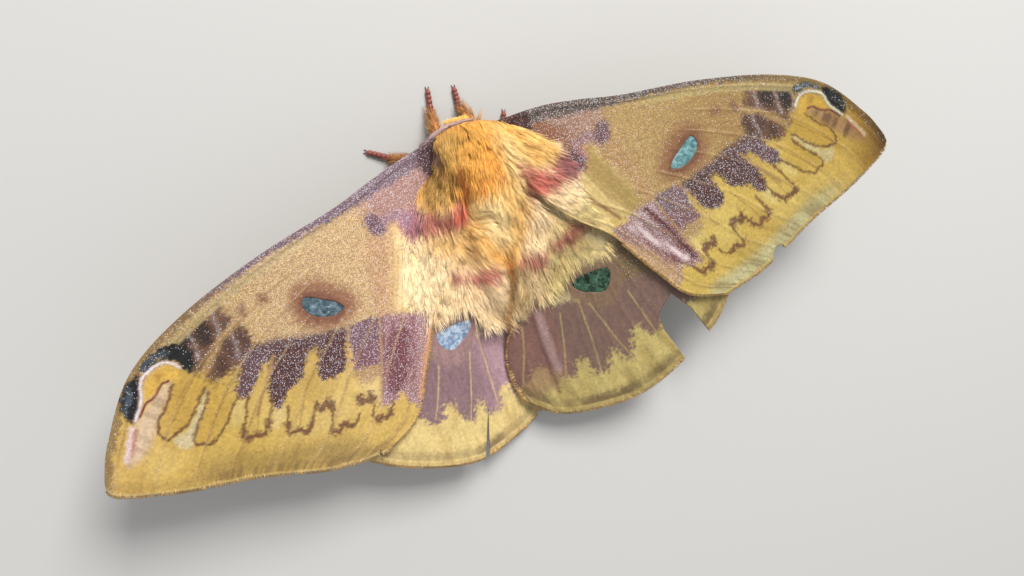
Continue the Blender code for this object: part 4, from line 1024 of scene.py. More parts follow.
def build_fringe(wing, material):
    """Short hair-scales along the outer and inner margins."""
    rng = np.random.default_rng(wing["seed"] + 100)
    edge = np.vstack([smooth_line(wing["outer"], 30), smooth_line(wing["rear"], 30)[::-1][1:-90]])
    chords = np.linalg.norm(np.diff(edge, axis=0), axis=1)
    total = chords.sum()
    count = int(total * 22)
    along = np.sort(rng.uniform(0, total, count))
    starts = np.concatenate([[0.0], np.cumsum(chords)])
    k = np.clip(np.searchsorted(starts, along) - 1, 0, len(chords) - 1)
    t = ((along - starts[k]) / chords[k])[:, None]
    base = edge[k] * (1 - t) + edge[k + 1] * t
    run = unit(edge[k + 1] - edge[k])
    out = np.c_[-run[:, 1], run[:, 0]]
    lean = rng.normal(0.0, 0.22, count)[:, None]
    way = unit(out + run * lean)
    free = np.ones(count, bool)
    for tear in TEARS[wing["name"]]:
        gap, _, _ = edge_distance(base[:, 0], base[:, 1], np.array(tear, float), True)
        free &= gap > 0.02
    base, way = (base - way * 0.3)[free], way[free]
    count = len(base)
    length = rng.uniform(0.75, 1.05, count) * (0.85 + 0.15 * np.sin(along[free] * 1.7))
    lift = rng.uniform(-0.12, 0.10, count)
    lines = flat_strands(wing, rng, base[:, 0], base[:, 1], way, length, np.zeros(count), 0.0, 3)
    lines[..., 2] += lift[:, None]
    dark = ramp(0.0, 0.7, noise(along[free], np.zeros(count), 1.6, wing["seed"] + 3))
    root = blend(tone(178, 142, 84) * np.ones((count, 3)), tone(140, 108, 62), 0.7 * dark)
    tip = blend(tone(200, 168, 114) * np.ones((count, 3)), tone(164, 132, 88), 0.6 * dark)
    tones = np.stack([root, (root + tip) / 2, tip], axis=1)
    radius = np.stack([np.full(count, 0.055), np.full(count, 0.05)], axis=1)
    patch = np.c_[base[:, 0] + 6.0, base[:, 1]] / 62.0
    return strand_piece(wing["name"] + "_fringe", lines, radius, tones, patch, material)


# Hair


# Lie of the hair seen from above: x, y, angle in degrees from tailward toward the moth's right
HAIR_WAYS = np.array([
    (-4.4, -2.6, -22), (-4.7, -5.5, -4), (-3.0, -3.0, -14), (-2.8, -6.0, -26), (-3.6, -8.2, -4), (-1.2, -2.0, -4),
    (0.2, -1.6, 4), (0.6, -5.0, 10), (-0.4, -9.0, -8), (2.5, -2.0, 16), (2.6, -7.0, 6), (4.4, -2.8, 26),
    (5.2, -5.6, 32), (7.0, -5.6, 50), (9.0, -7.5, 50), (8.8, -10.4, 38), (6.4, -10.4, 30), (6.2, -12.0, 30),
    (10.2, -11.4, 40), (3.6, -11.6, 3), (1.2, -11.8, 10), (2.6, -16.0, 0), (1.4, -19.6, 10), (-2.4, -9.6, -16),
    (-3.2, -12.0, -18), (-1.0, -17.0, 30), (-3.0, -15.6, 40), (-2.6, -20.0, 34), (-1.5, -24.0, 32), (-0.6, -27.0, 28),
    (-5.5, -15.2, 14), (-6.6, -20.0, -2), (-6.2, -25.0, -3), (-3.6, -26.0, 16), (-9.0, -15.0, -9),
    (-10.2, -20.0, -11), (-12.4, -24.0, -11), (-6.0, -6.6, -16), (-8.0, -8.0, -42), (-5.0, -9.6, 5),
    (-8.4, -11.4, -28), (-6.0, -13.0, -16), (-11.0, -12.4, -34), (5.8, -16.0, 7), (6.0, -20.0, 4), (9.6, -15.0, 32),
    (13.0, -17.0, 34), (9.0, -20.0, 8), (12.0, -23.0, 8), (15.0, -20.0, 26), (2.6, -22.0, -10), (1.4, -25.6, -26),
    (4.6, -25.0, -5), (8.4, -25.0, 8),
], float)
WHORL = (-1.5, -13.6)        # middle of the swirl on the rear of the thorax
COLLAR = [(-6.6, -3.15, 8.75), (-5.4, -2.5, 8.5), (-3.7, -1.75, 8.3), (-2.0, -1.3, 8.15),
          (0.0, -1.25, 8.1), (2.0, -1.5, 8.15), (3.9, -2.0, 8.3), (5.7, -2.95, 8.6), (7.6, -3.6, 9.1)]


# Raised locks and sunk clefts of the hair, seen from above: line, half width, height
HAIR_LOCKS = [
    ([(-4.3, -2.4), (-4.2, -5.0), (-3.7, -7.4)], 0.9, 0.7),
    ([(-2.9, -6.6), (-2.5, -9.2), (-3.2, -12.4)], 0.6, -1.1),
    ([(0.6, -2.4), (0.8, -7.0), (0.4, -11.0)], 1.4, 0.35),
    ([(3.2, -3.0), (4.0, -8.0), (3.6, -13.0), (2.2, -18.0)], 1.2, 0.5),
    ([(3.6, -3.6), (4.6, -7.0), (4.8, -11.0)], 1.1, 0.7),
    ([(6.2, -6.6), (6.3, -9.0), (6.0, -13.0)], 0.4, -0.4),
    ([(6.2, -4.6), (8.4, -6.6), (9.6, -8.2)], 1.0, 0.6),
    ([(-6.2, -6.6), (-6.3, -10.2)], 1.2, 0.6),
    ([(-5.2, -5.2), (-4.4, -7.9), (-3.5, -9.2)], 0.45, -1.0),
    ([(-2.2, -12.9), (-1.4, -12.3), (-0.6, -13.4), (-1.0, -15.0)], 0.6, 0.5),
]


# Painted shade and painted light over areas of the hair: middle, half sizes, shares of red, green and blue
HAIR_PAINTED_SHADE_AND_LIGHT = [
    ((-1.8, -3.0), (3.4, 2.4), (0.60, 0.62, 0.66)),
    ((-4.4, -4.6), (1.2, 2.4), (0.72, 0.70, 0.62)),
    ((-5.6, -8.0), (2.8, 2.4), (0.50, 0.48, 0.36)),
    ((12.0, -20.0), (4.4, 3.6), (0.42, 0.36, 0.30)),
    ((7.2, -24.0), (3.0, 2.4), (0.68, 0.62, 0.56)),
    ((2.2, -26.0), (2.4, 3.0), (0.60, 0.54, 0.42)),
    ((0.8, -24.0), (1.0, 3.6), (0.66, 0.60, 0.48)),
    ((2.2, -22.4), (2.4, 1.6), (0.66, 0.58, 0.46)),
    ((-1.8, -23.6), (2.0, 2.4), (1.05, 1.02, 1.02)),
    ((-6.4, -24.6), (2.6, 2.6), (1.12, 1.10, 1.10)),
    ((-1.0, -15.4), (2.4, 1.6), (1.05, 1.02, 1.04)),
]


def hair_relief(x, y):
    relief = 0.22 * noise(x, y, 1.5, 63)
    for line, half, high in HAIR_LOCKS:
        gap, _, _ = edge_distance(x, y, smooth_line(line, 3), False)
        relief = relief + high * np.exp(-(gap / half) ** 2)
    return relief


def hair_turn(x, y):
    """Angle of the hair seen from above, in radians, with the swirl and some waviness."""
    gap = (x[..., None] - HAIR_WAYS[:, 0]) ** 2 + (y[..., None] - HAIR_WAYS[:, 1]) ** 2
    weight = np.exp(-gap / (2 * 1.7 ** 2)) + 1e-9 / (1 + gap)
    turn = np.radians((weight * HAIR_WAYS[:, 2]).sum(axis=-1) / weight.sum(axis=-1))
    whorl_gap = np.hypot(x - WHORL[0], y - WHORL[1])
    turn = turn + 1.7 * np.exp(-(whorl_gap / 1.3) ** 2)
    return turn + 0.26 * noise(x, y, 2.2, 61) + 0.08 * noise(x, y, 0.9, 62)


def hair_path(x, y, length, share, lean, curl):
    """Places along the lie of the hair from each root, at the given shares of its length."""
    places = [(x, y)]
    for k in range(1, len(share)):
        step = length * (share[k] - share[k - 1])
        turn = hair_turn(x, y) + lean + curl * share[k]
        x = x + step * np.sin(turn)
        y = y - step * np.cos(turn)
        places.append((x, y))
    return np.stack([p[0] for p in places], axis=1), np.stack([p[1] for p in places], axis=1)


def paint_hair(x, y):
    """Tones of the hair seen from above: golden thorax, pale wing bases, red bands, with painted shade in the clefts,
    along the seam and in the front left corner, and painted light on the thorax's right side and rear.
    """
    sheet = Sheet(x, y, PALE_HAIR, 70)
    sheet.fill([(8.0, -18.0), (16.0, -15.0), (17.0, -24.0), (9.0, -28.0), (5.0, -27.0)], 1.5, tone(240, 222, 158))
    sheet.fill([(-8.0, -13.6), (1.0, -13.6), (2.0, -20.0), (0.0, -21.0), (-5.0, -18.6), (-8.6, -16.0)], 1.5,
               tone(252, 208, 132), rough=0.9, strength=0.8)
    sheet.fill([(-5.6, -1.6), (-3.0, -1.0), (3.0, -1.0), (6.4, -3.0), (9.0, -5.2), (10.2, -8.2), (6.4, -9.2),
                (5.6, -12.0), (4.4, -16.0), (2.4, -19.8), (1.2, -21.4), (-0.6, -20.2), (-2.4, -17.2), (-3.6, -14.4),
                (-4.6, -11.4), (-8.4, -10.2), (-8.8, -7.3), (-6.6, -5.6)], 0.8, GOLD_HAIR, rough=0.7)
    # Cream over the right side and rear: partly the hair's own cream, partly painted highlight
    sheet.fill([(2.4, -2.6), (4.8, -3.2), (6.0, -7.0), (5.6, -12.0), (4.2, -16.4), (2.4, -19.4), (0.6, -19.4),
                (-1.2, -17.6), (-3.0, -15.8), (-2.6, -11.6), (0.0, -11.2), (1.8, -9.4), (2.2, -6.0)], 1.2, CREAM_HAIR,
               rough=0.9, strength=0.9)
    # Brighter cream on the swirl at the rear: painted light over the shade of its bump
    sheet.fill([(-2.4, -11.4), (0.4, -11.2), (1.6, -13.0), (1.6, -17.4), (-0.8, -17.0), (-2.4, -14.0)], 1.0,
               tone(255, 228, 166), rough=0.8)
    # Brighter cream on the right flank: painted light
    sheet.fill([(3.2, -4.4), (5.0, -5.0), (5.6, -8.0), (5.2, -12.0), (3.6, -12.0), (3.4, -8.0)], 1.0,
               tone(255, 226, 160), rough=0.8)
    # Bright yellow at the right front of the thorax: painted highlight
    sheet.fill([(5.4, -3.6), (8.4, -5.4), (10.6, -8.8), (8.6, -9.6), (6.4, -8.8), (5.4, -7.0)], 0.7,
               tone(252, 212, 132), rough=0.5, strength=0.85)
    sheet.fill([(-5.4, -2.2), (-2.6, -2.0), (-2.2, -5.0), (-3.0, -8.6), (-4.2, -8.0), (-5.2, -5.4)], 0.6, OLIVE_HAIR,
               rough=0.5)
    sheet.fill([(-6.4, -6.0), (-4.8, -7.4), (-4.2, -11.2), (-6.4, -11.4), (-8.8, -9.8), (-8.4, -7.4)], 0.7,
               tone(240, 190, 112), rough=0.5)
    sheet.spot((1.6, -8.6), (0.8, 1.8), 10, 0.9, tone(244, 170, 74), strength=0.5)
    sheet.spot((-0.7, -9.6), (0.6, 1.4), -20, 0.6, tone(244, 166, 74), strength=0.6)
    # Dark brown and rust lines in the clefts between locks: painted shade
    sheet.draw([(-5.3, -5.0), (-4.9, -6.4), (-4.3, -7.9), (-3.4, -9.0)], 0.25, 0.55, tone(150, 98, 42), rough=0.3)
    sheet.draw([(-2.9, -7.2), (-2.6, -9.2), (-3.1, -11.4), (-3.2, -12.6)], 0.35, 0.6, RUST_CLEFT_SHADE, rough=0.3)
    for outline in ([(-3.4, -10.6), (-3.4, -13.6), (-6.0, -13.9), (-10.6, -13.7), (-12.2, -12.4), (-11.8, -10.9),
                     (-9.4, -10.6), (-7.4, -11.0), (-5.6, -11.8), (-4.4, -10.9)],
                    [(4.8, -8.2), (6.4, -9.5), (8.6, -10.0), (10.2, -9.2), (12.4, -9.4), (12.0, -11.6), (9.4, -12.7),
                     (6.6, -13.6), (5.6, -11.8), (4.9, -10.2)],
                    [(-7.2, -19.4), (-5.0, -20.4), (-3.2, -20.5), (-1.2, -20.3), (-0.8, -21.6), (-2.4, -22.7),
                     (-4.8, -21.6), (-6.8, -20.9)],
                    [(2.4, -20.2), (5.6, -20.6), (7.0, -20.4), (6.6, -21.8), (4.8, -22.3), (2.4, -21.6)],
                    [(7.6, -19.4), (9.8, -18.6), (12.4, -18.2), (12.2, -19.5), (9.6, -20.5), (7.8, -20.7)]):
        sheet.fill(outline, 0.5, ROSE_HAIR, rough=0.6)
    sheet.fill([(-3.3, -11.4), (-3.3, -13.2), (-5.2, -13.2), (-5.0, -12.2)], 0.6, tone(214, 110, 84), rough=0.4)
    sheet.fill([(5.4, -9.6), (8.6, -10.8), (9.4, -12.0), (6.8, -13.0), (5.8, -11.6)], 0.7, tone(208, 120, 102), rough=0.4)
    sheet.fill([(-9.0, -10.4), (-12.8, -10.2), (-12.8, -12.8), (-9.6, -13.6)], 0.8, tone(172, 118, 126))
    sheet.fill([(10.0, -8.8), (13.4, -8.2), (14.2, -10.0), (12.4, -11.8), (10.6, -11.4)], 0.8, tone(156, 98, 96))
    # Brown line and spot along the parting of the hair: painted shade in the seam
    sheet.draw([(1.3, -18.4), (1.2, -20.6), (0.5, -22.8), (0.0, -25.2), (-1.0, -29.4)], 0.30, 0.8,
               tone(190, 134, 66), rough=0.3, strength=0.85)
    sheet.spot((0.6, -20.8), (0.5, 1.2), 10, 0.4, tone(196, 118, 50))
    # Dark spot in the front left corner beside the wing base: painted shadow
    sheet.spot((-5.1, -4.6), (0.6, 1.7), 14, 0.5, tone(112, 74, 60))
    # Painted shade and painted light over areas of the hair
    shade = np.ones(x.shape + (3,))
    for middle, reach, share in HAIR_PAINTED_SHADE_AND_LIGHT:
        gap = np.hypot((x - middle[0]) / reach[0], (y - middle[1]) / reach[1])
        shade = shade * (1 + (np.array(share) - 1) * np.exp(-gap ** 2)[..., None])
    return sheet.tone * shade


# Shares of red, green and blue from a hair's root, darker and warmer as painted shade, to its pale tip
HAIR_SHADES = np.array([(0.93, 0.84, 0.68), (0.98, 0.92, 0.82), (1.02, 1.01, 1.0), (1.05, 1.08, 1.12),
                        (1.08, 1.13, 1.22)])


def tuft_cells(x, y):
    """Locks and the fine tufts along the lie of each: middle of each hair's tuft, and random shares."""
    lock_wide, lock_long, tuft_wide, tuft_long = 1.7, 3.2, 0.24, 2.4
    row = np.floor(y / lock_long + 0.5 * noise(x, y, 2.6, 5)).astype(np.int64)
    column = np.floor(x / lock_wide + 0.5 * (row % 2) + 0.5 * noise(x, y, 2.6, 6)).astype(np.int64)
    lock_x = (column - 0.5 * (row % 2) + 0.5) * lock_wide
    lock_y = (row + 0.5) * lock_long
    turn = hair_turn(lock_x, lock_y)
    c, s = np.cos(turn), np.sin(turn)
    across = (x - lock_x) * c + (y - lock_y) * s
    along = (x - lock_x) * s - (y - lock_y) * c
    lane = np.floor(across / tuft_wide).astype(np.int64) + 40 * column
    shift = lattice(lane, row, 13)
    part = np.floor(along / tuft_long + shift).astype(np.int64) + 40 * row
    across = (lane - 40 * column + 0.5) * tuft_wide
    along = (part - 40 * row + 0.5 - shift) * tuft_long
    lock = [lattice(row, column, k) for k in (7, 10, 11)]
    tuft = [lattice(lane, part, k) for k in (7, 8, 9, 12)]
    return lock_x + across * c + along * s, lock_y + across * s - along * c, lock, tuft


def lay_hair(name, seed, roots, patch, length, rise, material, radius=0.036):
    """Soft hair on the moth's back and wing bases, in locks of fine tufts whose tips draw together."""
    rng = np.random.default_rng(seed)
    x, y = roots
    count = len(x)
    share = np.array([0.0, 0.22, 0.48, 0.75, 1.0])
    mid_x, mid_y, lock, tuft = tuft_cells(x, y)
    reach = length(x, y) * rng.uniform(0.75, 1.1, count) * (0.85 + 0.3 * tuft[0])
    lean = 0.30 * (lock[1] - 0.5) + 0.34 * (tuft[1] - 0.5)
    curl = 0.40 * (lock[2] - 0.5) + 0.50 * (tuft[2] - 0.5)
    own_x, own_y = hair_path(x, y, reach, share, lean + rng.normal(0.0, 0.12, count),
                             curl + rng.normal(0.0, 0.20, count))
    shared_x, shared_y = hair_path(mid_x, mid_y, reach, share, lean, curl)
    gather = (0.25 + 0.55 * tuft[3])[:, None] * share[None] ** 0.7
    line_x = own_x + (shared_x - own_x) * gather
    line_y = own_y + (shared_y - own_y) * gather
    top = rise(x, y)
    high = top * (0.8 + 0.4 * lock[0]) * (0.85 + 0.3 * tuft[0]) * rng.uniform(0.45, 1.0, count)
    arch = np.sin(np.minimum(share * 1.9, 1.75))
    relief = 0.5 * hair_relief(line_x, line_y) + 0.5 * hair_relief(x, y)[:, None]
    sink = 0.5 * reach[:, None] * share[None]
    ground_z = np.maximum(hair_floor(line_x, line_y), hair_floor(x, y)[:, None] - sink)
    line_z = ground_z - 0.05 + (high[:, None] + relief * np.minimum(top, 1.0)[:, None]) * arch
    lines = np.stack([line_x, line_y, line_z], axis=-1)
    step = 0.05
    slope_x = (hair_floor(x + step, y) - hair_floor(x - step, y)) / (2 * step)
    slope_y = (hair_floor(x, y + step) - hair_floor(x, y - step)) / (2 * step)
    slope_x, slope_y = np.clip(slope_x, -1.0, 1.0), np.clip(slope_y, -1.0, 1.0)
    outward = unit(np.stack([-slope_x, -slope_y, np.ones(count)], axis=-1) + rng.normal(0.0, 0.2, (count, 3)))
    stray = rng.normal(0.0, 0.3, (count, 1))
    ground = paint_hair(0.2 * x[:, None] + 0.8 * line_x, 0.2 * y[:, None] + 0.8 * line_y + stray)
    # Hairs lying low under the others take a darker, warmer tone: painted shade
    depth = np.clip((high / np.maximum(top, 0.1) - 0.25) / 0.8, 0.0, 1.0)
    ground = blend(ground * (0.98, 0.88, 0.74), ground, np.repeat(depth[:, None], 5, axis=1))
    ground = ground * (rng.uniform(0.93, 1.07, count) * (0.96 + 0.08 * lock[0]) * (0.86 + 0.28 * tuft[1]))[:, None, None]
    tones = ground * HAIR_SHADES[None] + 0.01
    tones = tones / np.maximum(tones.max(axis=-1, keepdims=True), 1.0)
    thick = radius * rng.uniform(0.8, 1.25, count)[:, None] * np.array([[0.9, 1.0, 0.85, 0.55]])
    return strand_piece(name, lines, thick, tones, patch, material, outward[:, None], 0.45)


def body_hair(name, seed, count, table, first, last, near, spread, length, rise, radius, tint, material,
              way=1.0):
    """Short hair on the sides and underside of the body or all round the head, lying along it."""
    rng = np.random.default_rng(seed)
    y = rng.uniform(last, first, count)
    angle = rng.uniform(near, spread, count) * rng.choice([-1.0, 1.0], count)
    place = np.abs(body_point(table, y, angle) * (1, 0, 0)) + body_point(table, y, angle) * (0, 1, 1)
    free = np.linalg.norm(place - np.array(EYE_PLACE), axis=1) > EYE_RADIUS * 1.12
    y, angle = y[free], angle[free]
    count = len(y)
    luck = lattice(np.floor(y / 0.9).astype(np.int64), np.floor(angle / 0.2).astype(np.int64), 7)
    reach = length * rng.uniform(0.7, 1.15, count) * (0.8 + 0.4 * luck)
    turn = 0.35 * noise(y, angle * 4.0, 2.0, seed) + 0.5 * (luck - 0.5) + rng.normal(0.0, 0.12, count)
    wide, _, _ = body_section(table, y)
    share = np.array([0.0, 0.25, 0.52, 0.78, 1.0])[None]
    line_y = y[:, None] - way * (reach * np.cos(turn))[:, None] * share
    line_a = angle[:, None] + (reach * np.sin(turn) / np.maximum(wide + 1.0, 1.4))[:, None] * share
    high = rise * (0.75 + 0.5 * luck) * rng.uniform(0.7, 1.15, count)
    out = -SKIN_INSET - 0.05 + high[:, None] * np.sin(np.minimum(share * 1.9, 1.75))
    held_y = np.clip(line_y, table[-1][0], table[0][0])
    lines = body_point(table, held_y, line_a, out)
    lines[..., 1] = line_y
    lines[..., 2] = np.maximum(lines[..., 2], 0.6)
    outward = unit(body_point(table, y, angle, 1.0) - body_point(table, y, angle))
    ground = tint(y, angle) * (rng.uniform(0.88, 1.10, count) * (0.92 + 0.16 * luck))[:, None]
    tip = np.minimum(ground * 1.10 + 0.02, 1.0)
    tones = blend(0.8 * ground[:, None] * np.ones((1, 5, 1)), tip[:, None], np.array([0.0, 0.5, 0.8, 1.0, 1.0])[None])
    thick = radius * rng.uniform(0.8, 1.2, count)[:, None] * np.array([[0.9, 1.0, 0.85, 0.55]])
    patch = np.c_[angle / (2 * math.pi) + 0.5, (y + 28.0) / 30.0]
    return strand_piece(name, lines, thick, tones, np.clip(patch, 0.0, 0.99), material, outward[:, None], 0.5)


def scatter(rng, outline, count):
    """Random points inside an outline."""
    ring = np.array(outline, float)
    low, high = ring.min(axis=0), ring.max(axis=0)
    x, y = rng.uniform(low[0], high[0], count * 5), rng.uniform(low[1], high[1], count * 5)
    gap, _, _ = edge_distance(x, y, ring, True)
    return x[gap < 0][:count], y[gap < 0][:count]


# Haired bases of the wings, as flat outlines, and the corners between wings and collar from above
HAIRED = {
    "forewing_left": [(3.4, 3.6), (5.0, 4.8), (6.8, 5.8), (8.8, 6.9), (10.0, 8.6), (10.8, 10.2), (12.8, 11.8),
                      (14.4, 14.6), (16.0, 17.6), (15.8, 19.6), (12.6, 20.8), (9.5, 18.8), (6.5, 15.0), (3.4, 9.6)],
    "forewing_right": [(3.4, 2.8), (5.4, 4.0), (7.2, 5.6), (8.8, 7.4), (10.0, 9.2), (10.6, 11.0), (10.8, 13.4),
                       (11.2, 16.0), (12.4, 20.4), (9.5, 18.8), (6.5, 15.0), (3.4, 9.6)],
    "hindwing_left": [(3.0, 9.6), (6.5, 15.0), (9.5, 18.8), (12.6, 22.0), (13.6, 23.2), (12.2, 23.6), (8.0, 22.8),
                      (6.6, 25.0), (5.8, 27.4), (4.2, 27.8), (2.4, 27.2), (0.6, 25.0), (1.0, 12.0)],
    "hindwing_right": [(3.0, 9.6), (6.5, 15.0), (9.5, 18.8), (13.2, 22.0), (13.8, 23.0), (12.2, 23.2), (8.6, 22.6),
                       (6.6, 24.4), (4.0, 25.4), (0.4, 26.0), (-1.6, 25.2), (0.2, 12.0)],
}
CORNERS = [[(-4.6, -2.6), (-3.4, -1.9), (-2.8, -3.2), (-3.6, -4.8), (-4.5, -4.6)],
           [(6.2, -3.5), (4.9, -2.7), (3.7, -2.05), (1.8, -1.6), (1.8, -2.8), (3.8, -4.6), (5.6, -4.9)]]


def wing_roots(wing, outline, count, seed):
    """Roots over a wing's base, clear of the body, as places seen from above and on the flat wing."""
    rng = np.random.default_rng(seed)
    fx, fy = scatter(rng, outline, count)
    spot = wing_place(fx, fy, wing["side"], wing["sweep"], wing["lift"](fx, fy, wing["side"]))
    wide, _, _ = body_section(BODY_STATIONS, spot[:, 1])
    free = (np.abs(spot[:, 0]) > 0.85 * wide) & (spot[:, 1] < collar_line(spot[:, 0]) - 0.5)
    free &= (spot[:, 0] > -4.6) | (spot[:, 1] < -5.4)
    return (spot[free, 0], spot[free, 1]), (np.c_[fx + 6.0, fy] / 62.0)[free]


def collar_line(x):
    rim = np.array(COLLAR)
    return np.interp(x, rim[:, 0], rim[:, 1])


def back_roots(count, first, last, seed):
    """Roots on the back of the body, even over its curved surface."""
    rng = np.random.default_rng(seed)
    y = rng.uniform(last, first, count)
    angle = rng.uniform(-1.35, 1.35, count)
    x = body_section(BODY_STATIONS, y)[0] * np.sin(angle)
    free = y < collar_line(x) - 0.12
    patch = np.c_[angle / (2 * math.pi) + 0.5, (y + 28.0) / 30.0]
    return (x[free], y[free]), np.clip(patch, 0.0, 0.99)[free]


def corner_roots(count, seed):
    """Roots beside the front of the thorax, up to the collar."""
    rng = np.random.default_rng(seed)
    left, right = (scatter(rng, outline, count) for outline in CORNERS)
    x, y = np.concatenate([left[0], right[0]]), np.concatenate([left[1], right[1]])
    patch = np.c_[0.5 + 0.035 * x, (y + 28.0) / 30.0]
    return (x, y), patch


def back_length(x, y):
    return np.interp(y, [-27.0, -20.0, -15.0, -9.0, -3.0], [2.8, 3.4, 3.8, 3.4, 2.6])


def back_rise(x, y):
    return np.interp(y, [-27.5, -16.0, -13.0, -6.0, -2.4, -1.4], [0.9, 1.15, 1.5, 1.6, 1.2, 0.8])


def base_length(x, y):
    return np.interp(np.abs(x), [3.5, 6.0, 10.0, 16.0], [3.6, 3.2, 2.6, 1.8])


def base_rise(x, y):
    """Height of the hair over the wing bases: high beside the thorax, flat farther out."""
    front = 1 - ramp(-13.0, -16.0, y)
    near = np.interp(np.abs(x), [4.0, 6.5, 10.0, 13.0], [1.1, 0.8, 0.35, 0.10])
    return near * (0.75 + 0.45 * front)


def flank_tint(y, angle):
    """Tones of the hair on the sides and underside, and of the skin."""
    shape = y.shape + (3,)
    ground = blend(GOLD_HAIR * np.ones(shape), PALE_HAIR, ramp(-13.0, -17.0, y))
    return blend(ground, tone(236, 190, 130), 0.5 * ramp(1.7, 2.4, np.abs(angle)))


def head_tint(y, angle):
    return blend(tone(226, 150, 62) * np.ones(y.shape + (3,)), GOLD_HAIR, 0.5 + 0.5 * noise(y, angle * 3, 0.8, 4))


def build_collar(material):
    """Smooth rim of lilac-grey scales over the front of the thorax, and the small tuft in front of it."""
    rng = np.random.default_rng(395)
    count = 1200
    start = rng.uniform(0.0, 0.46, count)
    share = np.linspace(0.0, 1.0, 5)
    t = start[:, None] + 0.10 * share[None]
    rim = curve_points(COLLAR, t)
    around = rng.uniform(0, 2 * math.pi, count)
    wide = np.interp(start, [0.0, 0.2, 0.46], [0.22, 0.20, 0.10])
    ring = np.stack([0 * around, wide * (np.cos(around) - 0.7), 0.16 * np.sin(around) - 0.12], axis=-1)
    lines = rim + ring[:, None] + rng.normal(0.0, 0.03, (count, 1, 3))
    ground = blend(tone(146, 122, 124) * np.ones((count, 3)), tone(190, 158, 140), rng.uniform(0.0, 0.7, count))
    ground = blend(ground, tone(128, 106, 112), ramp(0.2, 0.0, start))
    tones = ground[:, None] * np.linspace(0.9, 1.05, 5)[None, :, None]
    thick = np.tile([0.05, 0.06, 0.06, 0.045], (count, 1))
    patch = np.c_[np.clip(t[:, 0], 0.0, 0.98), around / (2 * math.pi)]
    strand_piece("hair_collar", lines, thick, tones, patch * 0.99, material, flat=0.4)
    count = 700
    root = np.c_[rng.uniform(-1.7, 0.6, count), rng.uniform(-2.1, -1.5, count), rng.uniform(5.6, 7.4, count)]
    fan = np.c_[(root[:, 0] + 0.6) * 0.35 + rng.normal(0.0, 0.25, count), rng.uniform(0.8, 1.25, count),
                (root[:, 2] - 6.3) * 0.25 + rng.normal(0.0, 0.2, count)]
    curve = np.array([0.0, 0.3, 0.55, 0.8, 1.0])[None, :, None]
    lines = root[:, None] + fan[:, None] * curve - np.array([0.0, 0.0, 0.25]) * curve ** 2
    ground = blend(GOLD_HAIR * np.ones((count, 3)), tone(250, 206, 120), rng.uniform(0.0, 1.0, count))
    tones = ground[:, None] * np.linspace(0.8, 1.1, 5)[None, :, None]
    thick = np.tile([0.04, 0.045, 0.04, 0.025], (count, 1))
    patch = np.c_[(root[:, 0] + 2.0) / 3.0, (root[:, 2] - 5.5) / 2.1] * 0.98
    strand_piece("hair_brow", lines, thick, np.minimum(tones, 1.0), patch, material)


def build_coats(wings, hair):
    """All hair pieces of the body and the wing bases."""
    for k in range(2):
        roots, patch = back_roots(8400, -1.5, -15.2, 300 + k)
        lay_hair("hair_thorax_%d" % (k + 1), 310 + k, roots, patch, back_length, back_rise, hair)
    roots, patch = corner_roots(800, 303)
    lay_hair("hair_shoulders", 314, roots, patch, back_length, back_rise, hair)
    roots, patch = back_roots(6600, -15.0, -26.6, 302)
    lay_hair("hair_abdomen", 312, roots, patch, back_length, back_rise, hair)
    body_hair("hair_flanks", 313, 3400, BODY_STATIONS, -2.2, -25.4, 1.25, math.pi, 2.0, 0.55, 0.045, flank_tint,
              hair)
    body_hair("hair_head", 330, 2600, HEAD_STATIONS, -1.5, -3.6, 0.0, math.pi, 1.0, 0.5, 0.032, head_tint, hair,
              way=-1.0)
    build_collar(hair)
    for wing in wings:
        fore = wing["name"].startswith("fore")
        count = (7400 if wing["side"] < 0 else 5600) if fore else 6200
        roots, patch = wing_roots(wing, HAIRED[wing["name"]], count, 340 + wing["seed"])
        lay_hair("hair_" + wing["name"], 360 + wing["seed"], roots, patch, base_length, base_rise, hair)


# Body skin, limbs and head


def loft(table, sides, rings):
    """Closed tube through a table of stations, in mm, as points and faces."""
    share = np.linspace(0.0, 1.0, rings)
    y = table[0][0] + (table[-1][0] - table[0][0]) * share
    angle = np.linspace(-math.pi, math.pi, sides + 1)[:-1]
    yy, aa = np.meshgrid(y, angle, indexing="ij")
    wide, tall, _ = body_section(table, yy)
    inset = -np.minimum(SKIN_INSET, 0.6 * np.minimum(wide, tall))
    points = body_point(table, yy, aa, inset).reshape(-1, 3)
    i, k = np.meshgrid(np.arange(rings - 1), np.arange(sides), indexing="ij")
    i, k = i.ravel(), k.ravel()
    n = (k + 1) % sides
    faces = [tuple(face) for face in np.c_[i * sides + k, (i + 1) * sides + k, (i + 1) * sides + n, i * sides + n]]
    faces.append(tuple(range(sides)))
    faces.append(tuple(range((rings - 1) * sides, rings * sides))[::-1])
    return points, faces


